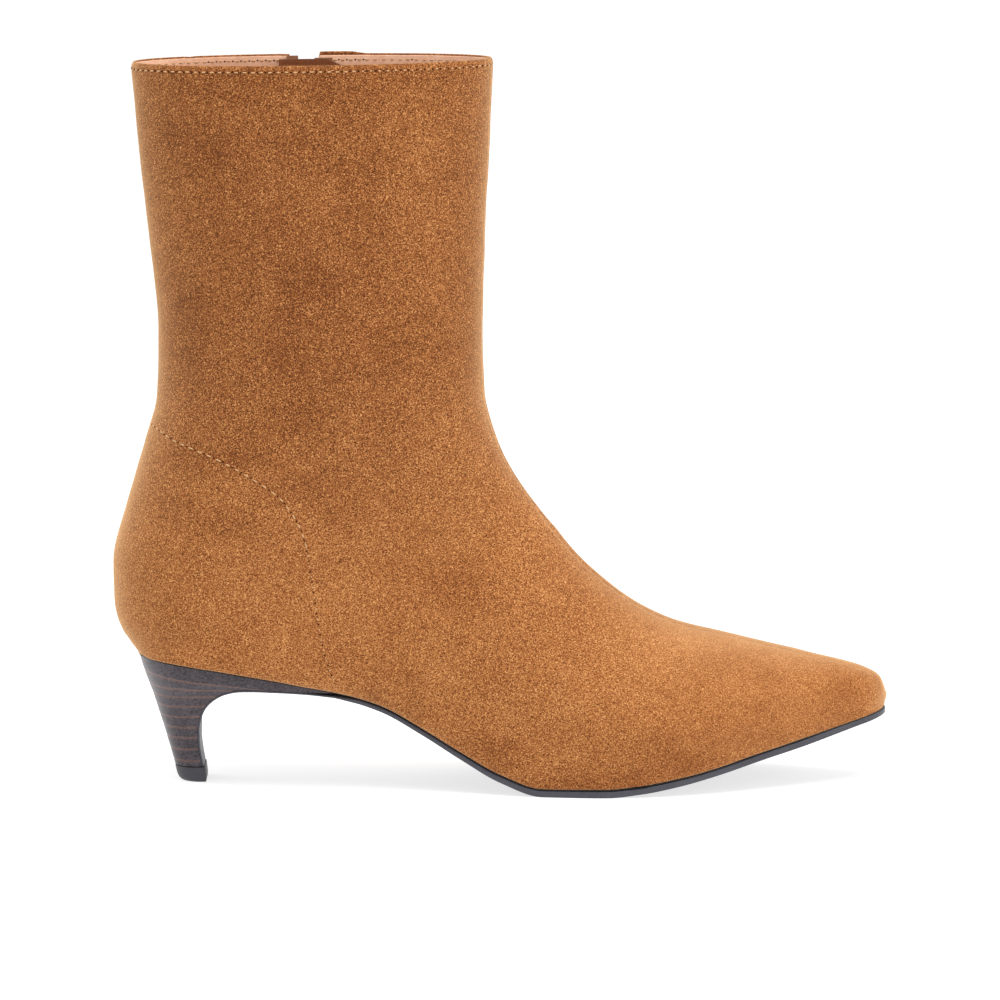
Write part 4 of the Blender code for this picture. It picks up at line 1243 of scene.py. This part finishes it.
def make_lift(paint):
    """The top piece: a D with a small bevel above, and a rounder lower edge at its back."""
    loops = []
    for z, pull in LIFT_LEVELS:
        share = 1.0 - z / LIFT_HEIGHT
        back, front, half = [a + (b - a) * share for a, b in (LIFT_BACK, LIFT_FRONT, LIFT_HALF)]
        back += pull
        half -= 0.5 * pull
        front -= 0.2 * pull
        loop = [(front, -half + LIFT_CORNER, z), (front - LIFT_CORNER, -half, z)]
        turns = steps(0.0, math.pi, 40)
        loop += [(back + LIFT_ROUND * (1.0 - math.sin(a)), -half * math.cos(a), z) for a in turns]
        loop += [(front - LIFT_CORNER, half, z), (front, half - LIFT_CORNER, z)]
        loops.append(loop)
    points, faces = loft(loops)
    return add_piece("heel_lift", points, faces, paint, "lift_rubber", replaces=["top_piece"])


def make_insole(paint):
    """The insole and its cover: a thin slab whose top is dished a little and rounded at its edge."""
    inset = WALL + COVER_GAP
    start = FEATHER[0].x + inset + COVER_END
    end = FEATHER[-1].x - inset - COVER_END
    places = [start + HEEL_ROUND * (1.0 - math.cos(a)) for a in steps(0.0, COVER_TURN, 20)]
    toe = [end - TOE_ROUND * (1.0 - math.cos(a)) for a in steps(COVER_TURN, 0.0, 12)]
    places += steps(places[-1], toe[0], 90)[1:-1] + toe
    loops = []
    for x in places:
        outer, inner = outline(x, inset)
        low = by_x("z", x)
        top = []
        for share in steps(-1.0, 1.0, COVER_COLUMNS):
            y = (outer + inner) / 2.0 + (inner - outer) / 2.0 * share
            dish = COVER_DISH * (1.0 - share ** 2)
            height = INSOLE_THICK - dish - COVER_EDGE * abs(share) ** COVER_EDGE_POWER
            top.append((x, y, low + height))
        loops.append(top + [(x, inner, low), (x, outer, low)])
    points, faces = loft(loops)
    return add_piece("insole_cover", points, faces, paint, "lining", replaces=["insole"], sharp=60.0)


def strip(rows, start, end, depths, columns):
    """A closed strip under the medial skin between two distances from the zip's line, given for each row."""
    loops = []
    for u in rows:
        span = section(u)["span"]
        ways = [way_up(section(u), ZIP_PLACE + d / span) for d in steps(start(u), end(u), columns)]
        outer = [skin(u, "inner", w, depths[0])[0] for w in ways]
        inner = [skin(u, "inner", w, depths[1])[0] for w in ways]
        loops.append(outer + inner[::-1])
    return loft(loops)


def join(parts):
    """One list of points and one of faces from several."""
    points, faces = [], []
    for more_points, more_faces in parts:
        base = len(points)
        points += list(more_points)
        faces += [tuple(k + base for k in face) for face in more_faces]
    return points, faces


def tape_edge(u, side):
    """Distance of a tape's inner edge from the zip's line; at the top the front tape parts from the rear."""
    splay = TAPE_SPLAY * smooth(1.0 - u / (SLIDER_AT - TAPE_PART)) if side > 0.0 else 0.0
    return TAPE_GAP + splay


def tape_back(u):
    """Distance of the rear tape's outer edge from the zip's line; it is narrower at its top."""
    return TAPE_TOP_REAR + (TAPE_HALF - TAPE_TOP_REAR) * smooth((u - TAPE_WIDEN_FROM) / TAPE_WIDEN_OVER)


def make_tape(paint):
    low_rows = rows_through(TAPE_START, (ZIP_END, 3.0), (ZIP_END + TAPE_PAST, 2.0))
    rear = strip([TAPE_TOP] + low_rows, lambda u: -tape_back(u), lambda u: -tape_edge(u, -1.0),
                 TAPE_DEPTHS, TAPE_COLUMNS)
    front = strip(low_rows, lambda u: tape_edge(u, 1.0), lambda u: TAPE_HALF, TAPE_DEPTHS, TAPE_COLUMNS)
    points, faces = join((rear, front))
    return add_piece("zip_tapes", points, faces, paint, "zip_tape", replaces=["zip_tape"])


def make_guard(paint):
    """The flap behind the zip; its front end is cut at a slant at the top."""
    rows = rows_through(GUARD_START, (GUARD_BAND, 1.2), (ZIP_END + TAPE_PAST, 4.0))
    points, faces = strip(rows, lambda u: -GUARD_REACH[0],
                          lambda u: GUARD_TOP + (GUARD_REACH[1] - GUARD_TOP) * smooth(u / GUARD_SLANT),
                          GUARD_DEPTHS, GUARD_COLUMNS)
    return add_piece("zip_flap", points, faces, paint, "guard", replaces=["zip_guard"])


def zip_line(u, across, depth):
    """A point near the zip's line and the outward normal there."""
    at = section(u)
    return skin(u, "inner", way_up(at, ZIP_PLACE + across / at["span"]), depth)


def bar(a, b, radius, up, sides=6, rings=5, bulge=0.0):
    """A rod with round ends from a to b; bulge lifts its middle along up."""
    way = unit(b - a)
    side = unit(np.cross(way, up))
    over = np.cross(side, way)
    loops = []
    for s in steps(0.0, 1.0, rings):
        ends = math.sqrt(max(0.0, 1.0 - abs(2.0 * s - 1.0) ** 5)) if 0.0 < s < 1.0 else 0.35
        place = a + (b - a) * s + over * bulge * (1.0 - (2.0 * s - 1.0) ** 2)
        loops.append([place + (side * math.cos(t) + over * math.sin(t)) * radius * ends
                      for t in steps(0.0, 2.0 * math.pi, sides)[:-1]])
    return loft(loops)


def make_coil(paint):
    """The two coils of the zip, tooth by tooth; above the slider they part with their tapes."""
    fine = [float(u) for u in np.linspace(COIL_ROWS[0], ZIP_END - COIL_ROWS[1], 400)]
    line = np.array([zip_line(u, 0.0, COIL_DEPTH)[0] for u in fine])
    along = run_along(line)
    parts = []
    for side, first in zip((-1.0, 1.0), COIL_STARTS):
        start = COIL_PITCH * first
        for place in np.arange(start, along[-1], COIL_PITCH):
            u = float(np.interp(place, along, fine))
            edge = tape_edge(u, side) - TAPE_GAP
            a, normal = zip_line(u, side * (edge - COIL_INSIDE), COIL_DEPTH)
            b, _ = zip_line(u, side * (edge + COIL_REACH), COIL_DEPTH + COIL_SINK)
            parts.append(bar(a, b, COIL_THICK, normal, 6, 6, COIL_BULGE))
    points, faces = join(parts)
    return add_piece("zip_teeth", points, faces, paint, "zip_coil", replaces=["zip_coil"], sharp=80.0)


def slider_frame():
    """Origin on the skin under the slider, with the ways across, down and out of the zip."""
    origin, out = zip_line(SLIDER_AT, 0.0, 0.0)
    down = unit(zip_line(SLIDER_AT + 0.01, 0.0, 0.0)[0] - zip_line(SLIDER_AT - 0.01, 0.0, 0.0)[0])
    across = unit(np.cross(down, out))
    if across[0] < 0.0:
        across = -across
    return origin, across, down, out


def in_frame(place, across, down, out):
    origin, way_across, way_down, way_out = place
    return origin + way_across * across + way_down * down + way_out * out


def pill(half_width, end_width, length, corner, arc=5):
    """An outline of (across, down) pairs: a plate with round corners that narrows towards its lower end."""
    half = length / 2.0
    outline_points = []
    corners = ((half_width - corner, -half + corner, -90.0), (end_width - corner, half - corner, 0.0),
               (-end_width + corner, half - corner, 90.0), (-half_width + corner, -half + corner, 180.0))
    for across, down, start in corners:
        for turn in steps(start, start + 90.0, arc):
            a = math.radians(turn)
            outline_points.append((across + corner * math.cos(a), down + corner * math.sin(a)))
    return outline_points


def bevel(piece, width):
    made = piece.modifiers.new("soft_edges", "BEVEL")
    made.width = width * MM
    made.segments = 3
    made.limit_method = "ANGLE"
    made.angle_limit = math.radians(40.0)
    piece.modifiers.new("normals", "WEIGHTED_NORMAL").keep_sharp = True


def make_slider(paint):
    """The slider: a plate that narrows downwards, and the crown bent over it."""
    place = slider_frame()
    top = FIT_GAP + SLIDER_PLATE
    shape = pill(SLIDER_WIDTH / 2.0, SLIDER_WIDTH / 2.0 - SLIDER_TAPER, SLIDER_LENGTH, SLIDER_CORNER)
    plate = loft([[in_frame(place, across, down, out) for across, down in shape] for out in (FIT_GAP, top)])
    post = CROWN_LENGTH / 2.0 - CROWN_BAR / 2.0
    roof = top + CROWN_RISE - CROWN_BAR / 2.0
    path = [(-post, top - CROWN_SINK)]
    for a in steps(0.0, math.pi / 2.0, 5):
        path.append((-post + CROWN_CORNER * (1.0 - math.cos(a)), roof - CROWN_CORNER * (1.0 - math.sin(a))))
    path += [(-down, out) for down, out in path[::-1]]
    loops = []
    for i, (down, out) in enumerate(path):
        before, after = path[max(0, i - 1)], path[min(len(path) - 1, i + 1)]
        way = unit(np.array((after[0] - before[0], after[1] - before[1])))
        side = np.array((-way[1], way[0])) * CROWN_BAR / 2.0
        half = CROWN_WIDTH / 2.0
        loops.append([in_frame(place, across, down + side[0] * sign, out + side[1] * sign)
                      for across, sign in ((-half, -1.0), (half, -1.0), (half, 1.0), (-half, 1.0))])
    points, faces = join((plate, loft(loops)))
    made = add_piece("zip_slider_plate", points, faces, paint, "metal", replaces=["zip_slider"], sharp=35.0)
    bevel(made, 0.22)
    return made


def make_puller(paint):
    """The pull tab: a slim plate with a waisted neck and an eye round the crown."""
    place = slider_frame()
    hinge = FIT_GAP + SLIDER_PLATE + (CROWN_RISE - CROWN_BAR) / 2.0
    thin = TAB_THICK / 2.0
    eye_middle = (thin + TAB_EYE_LENGTH) / 2.0
    rim, hole = [], []
    for k in range(TAB_SIDES):
        a = 2.0 * math.pi * k / TAB_SIDES
        across, down = math.cos(a), math.sin(a)
        end = TAB_LENGTH if down > 0.0 else -thin
        reach = abs(down) ** 0.55
        along = eye_middle + (end - eye_middle) * reach
        width = TAB_WIDTH / 2.0
        neck = math.exp(-((along - TAB_NECK_AT) / TAB_NECK_REACH) ** 2)
        width -= (TAB_WIDTH - TAB_NECK) / 2.0 * neck
        round_end = abs(across) ** 0.30
        rim.append((math.copysign(width * round_end, across), along))
        corner = max(abs(across), abs(down)) * 0.75 + 0.25
        hole.append((across / corner * TAB_EYE_WIDTH / 2.0,
                     eye_middle + down / corner * (TAB_EYE_LENGTH - thin) / 2.0))
    points = []
    for out in (hinge - thin, hinge + thin):
        for loop in (rim, hole):
            points += [in_frame(place, across, down, out) for across, down in loop]
    faces = []
    for k in range(TAB_SIDES):
        n = (k + 1) % TAB_SIDES
        low_rim, low_hole, high_rim, high_hole = [TAB_SIDES * m for m in range(4)]
        faces.append((low_rim + k, low_hole + k, low_hole + n, low_rim + n))
        faces.append((high_rim + k, high_rim + n, high_hole + n, high_hole + k))
        faces.append((low_rim + k, low_rim + n, high_rim + n, high_rim + k))
        faces.append((low_hole + n, low_hole + k, high_hole + k, high_hole + n))
    made = add_piece("zip_pull_tab", points, faces, paint, "metal", body="pull_tab", replaces=["zip_puller"],
                     sharp=35.0)
    bevel(made, 0.2)
    return made


def even(route, pitch):
    """Places at an even pitch along a route of (point, normal) pairs."""
    points = np.array([point for point, _ in route])
    normals = np.array([normal for _, normal in route])
    along = run_along(points)
    count = int(along[-1] / pitch)
    found = []
    for k in range(count + 1):
        at = k * pitch
        point = np.array([np.interp(at, along, points[:, m]) for m in range(3)])
        normal = unit(np.array([np.interp(at, along, normals[:, m]) for m in range(3)]))
        found.append((point, normal))
    return found


def stitches(route, pitch, radius, shown):
    """Threads and needle holes along a route, the holes as dark discs of painted shade; shown gives how much
    of each stitch lies on the surface.
    """
    threads, holes = [], []
    places = [(point + normal * swell(point), normal) for point, normal in even(route, pitch)]
    for (a, normal), (b, _) in zip(places, places[1:]):
        wander = noise.noise_vector(a / 2.7)
        ahead = unit(b - a)
        side = unit(np.cross(ahead, normal))
        half = (b - a) / 2.0 * shown(a) * (1.0 + 0.25 * wander[0])
        middle = (a + b) / 2.0 + ahead * 0.2 * wander[1] + side * 0.12 * wander[2] - normal * radius * 0.1
        thick = radius * (1.0 + 0.2 * wander[1])
        threads.append(bar(middle - half, middle + half, thick, normal, 6, 6, radius * 0.35))
        spot = a + normal * 0.05 + side * 0.12 * wander[0]
        disc = [spot + (side * math.cos(t) * 0.9 + ahead * math.sin(t) * 1.1) * radius * 1.45
                for t in steps(0.0, 2.0 * math.pi, 8)[:-1]]
        under = [p - normal * 0.2 for p in disc]
        holes.append(loft([disc, under]))
    return threads, holes


def collar_route(depth=0.0):
    """Along the collar's stitched line, on the suede or, with a depth, on the lining inside it."""
    at = section(COLLAR_STITCH)
    rear, front = zip_edges(at, COLLAR_STITCH, 2.2)
    ways = [("inner", w) for w in steps(rear, 0.0, 90)] + [("outer", w) for w in steps(0.0, 1.0, 180)[1:]]
    ways += [("inner", w) for w in steps(1.0, front, 90)[1:]]
    found = [skin(COLLAR_STITCH, side, w, depth) for side, w in ways]
    return [(point, -normal) for point, normal in found] if depth else found


def counter_route(side, start=0.0, end=1.0):
    route = []
    for share in steps(start, end, 90):
        k = share * (len(COUNTER_SEAM) - 1)
        u, t = locate(by_row(COUNTER_SEAM, "x", k), by_row(COUNTER_SEAM, "z", k))
        route.append(skin(u, side, way_up(section(u), t)))
    return route


def zip_route():
    """Down one side of the slit, across below its end, and up the other side."""
    route = []
    ends = steps(0.12, ZIP_END - 0.1, 160)
    for u in ends:
        route.append(zip_line(u, -slit_reach(min(u, ZIP_END - ZIP_POINT))[0] - ZIP_STITCH, 0.0))
    turn_reach = slit_reach(ZIP_END - ZIP_POINT)[0] + ZIP_STITCH
    for a in steps(0.0, math.pi, 24):
        u = ZIP_END - 0.1 + 0.55 * math.sin(a)
        route.append(zip_line(u, -turn_reach * math.cos(a), 0.0))
    for u in ends[::-1]:
        route.append(zip_line(u, slit_reach(min(u, ZIP_END - ZIP_POINT))[1] + ZIP_STITCH, 0.0))
    return route


def make_stitches(thread, hole):
    """Every stitched line of the upper, as one piece of threads and one of needle holes painted dark as their
    shade.
    """
    rows = (
        (collar_route(), COLLAR_PITCH, 0.25, lambda place: 0.44 if place[0] < 85.0 else 0.27),
        (collar_route(WALL), COLLAR_PITCH, 0.22, lambda place: 0.50),
        (counter_route("outer"), COUNTER_PITCH, 0.25, lambda place: 0.50 if place[2] > 85.0 else 0.16),
        (counter_route("inner", 0.0, 0.33), COUNTER_PITCH, 0.25, lambda place: 0.62),
        (counter_route("inner", 0.72, 1.0), COUNTER_PITCH, 0.25, lambda place: 0.30),
        (zip_route(), COLLAR_PITCH, 0.25, lambda place: 0.60),
    )
    threads, holes = [], []
    for route, pitch, radius, shown in rows:
        more_threads, more_holes = stitches(route, pitch, radius, shown)
        threads += more_threads
        holes += more_holes
    add_piece("stitch_threads", *join(threads), thread, "suede", sharp=80.0)
    add_piece("needle_holes", *join(holes), hole, "suede", sharp=80.0)


def make_camera():
    data = bpy.data.cameras.new("camera")
    data.lens = CAMERA_LENS
    data.sensor_width = 36.0
    data.clip_end = 100.0
    camera = bpy.data.objects.new("camera", data)
    camera.location = [c * MM for c in CAMERA_PLACE]
    camera.rotation_euler = (math.radians(90.0 - CAMERA_TILT), 0.0, 0.0)
    bpy.context.scene.collection.objects.link(camera)
    bpy.context.scene.camera = camera


def make_light(name, place, target, size, power):
    data = bpy.data.lights.new(name, "AREA")
    data.shape = "RECTANGLE"
    data.size, data.size_y = size
    data.energy = power
    light = bpy.data.objects.new(name, data)
    light.location = place
    way = np.array(target) - np.array(place)
    tilt = math.acos(-way[2] / np.linalg.norm(way))
    light.rotation_euler = (tilt, 0.0, math.atan2(way[0], -way[1]) + math.pi)
    bpy.context.scene.collection.objects.link(light)


def make_stage():
    mesh = bpy.data.meshes.new("floor")
    work = bmesh.new()
    bmesh.ops.create_grid(work, x_segments=8, y_segments=8, size=12.0)
    work.to_mesh(mesh)
    work.free()
    mesh.materials.append(floor_material())
    floor = bpy.data.objects.new("floor", mesh)
    bpy.context.scene.collection.objects.link(floor)
    world = bpy.data.worlds.new("studio")
    world.use_nodes = True
    world.node_tree.nodes["Background"].inputs["Color"].default_value = (1.0, 1.0, 1.0, 1.0)
    world.node_tree.nodes["Background"].inputs["Strength"].default_value = 0.75
    bpy.context.scene.world = world
    bpy.context.scene.view_settings.view_transform = "Standard"
    make_light("key", (0.3, -0.45, 1.9), (0.05, 0.0, 0.08), (1.2, 1.2), 29.0)
    make_light("back", (-1.4, 0.5, 0.9), (0.0, 0.0, 0.1), (0.8, 1.0), 7.0)
    make_light("front", (1.3, -0.5, 0.6), (0.0, 0.0, 0.1), (0.8, 0.8), 5.0)


def main():
    make_camera()
    make_stage()
    upper = make_upper(suede_material())
    make_lining(lining_material())
    make_insole(insole_material())
    make_sole(sole_material())
    # A near black line of cement and painted shadow along the suede's lower edge.
    make_feather_shadow_line(material("cement_and_shadow_line", (0.012, 0.011, 0.012), 0.8), upper)
    make_heel(heel_material())
    make_lift(rubber_material())
    make_tape(woven_material("tape_weave", (0.20, 0.085, 0.036), (0.42, 0.205, 0.10), 0.45))
    make_guard(woven_material("guard_weave", (0.120, 0.036, 0.012), (0.32, 0.108, 0.036), 0.5))
    make_coil(coil_material())
    metal = metal_material()
    make_slider(metal)
    make_puller(metal)
    make_stitches(thread_material("thread", (0.64, 0.37, 0.17)), hole_shade_material())


main()
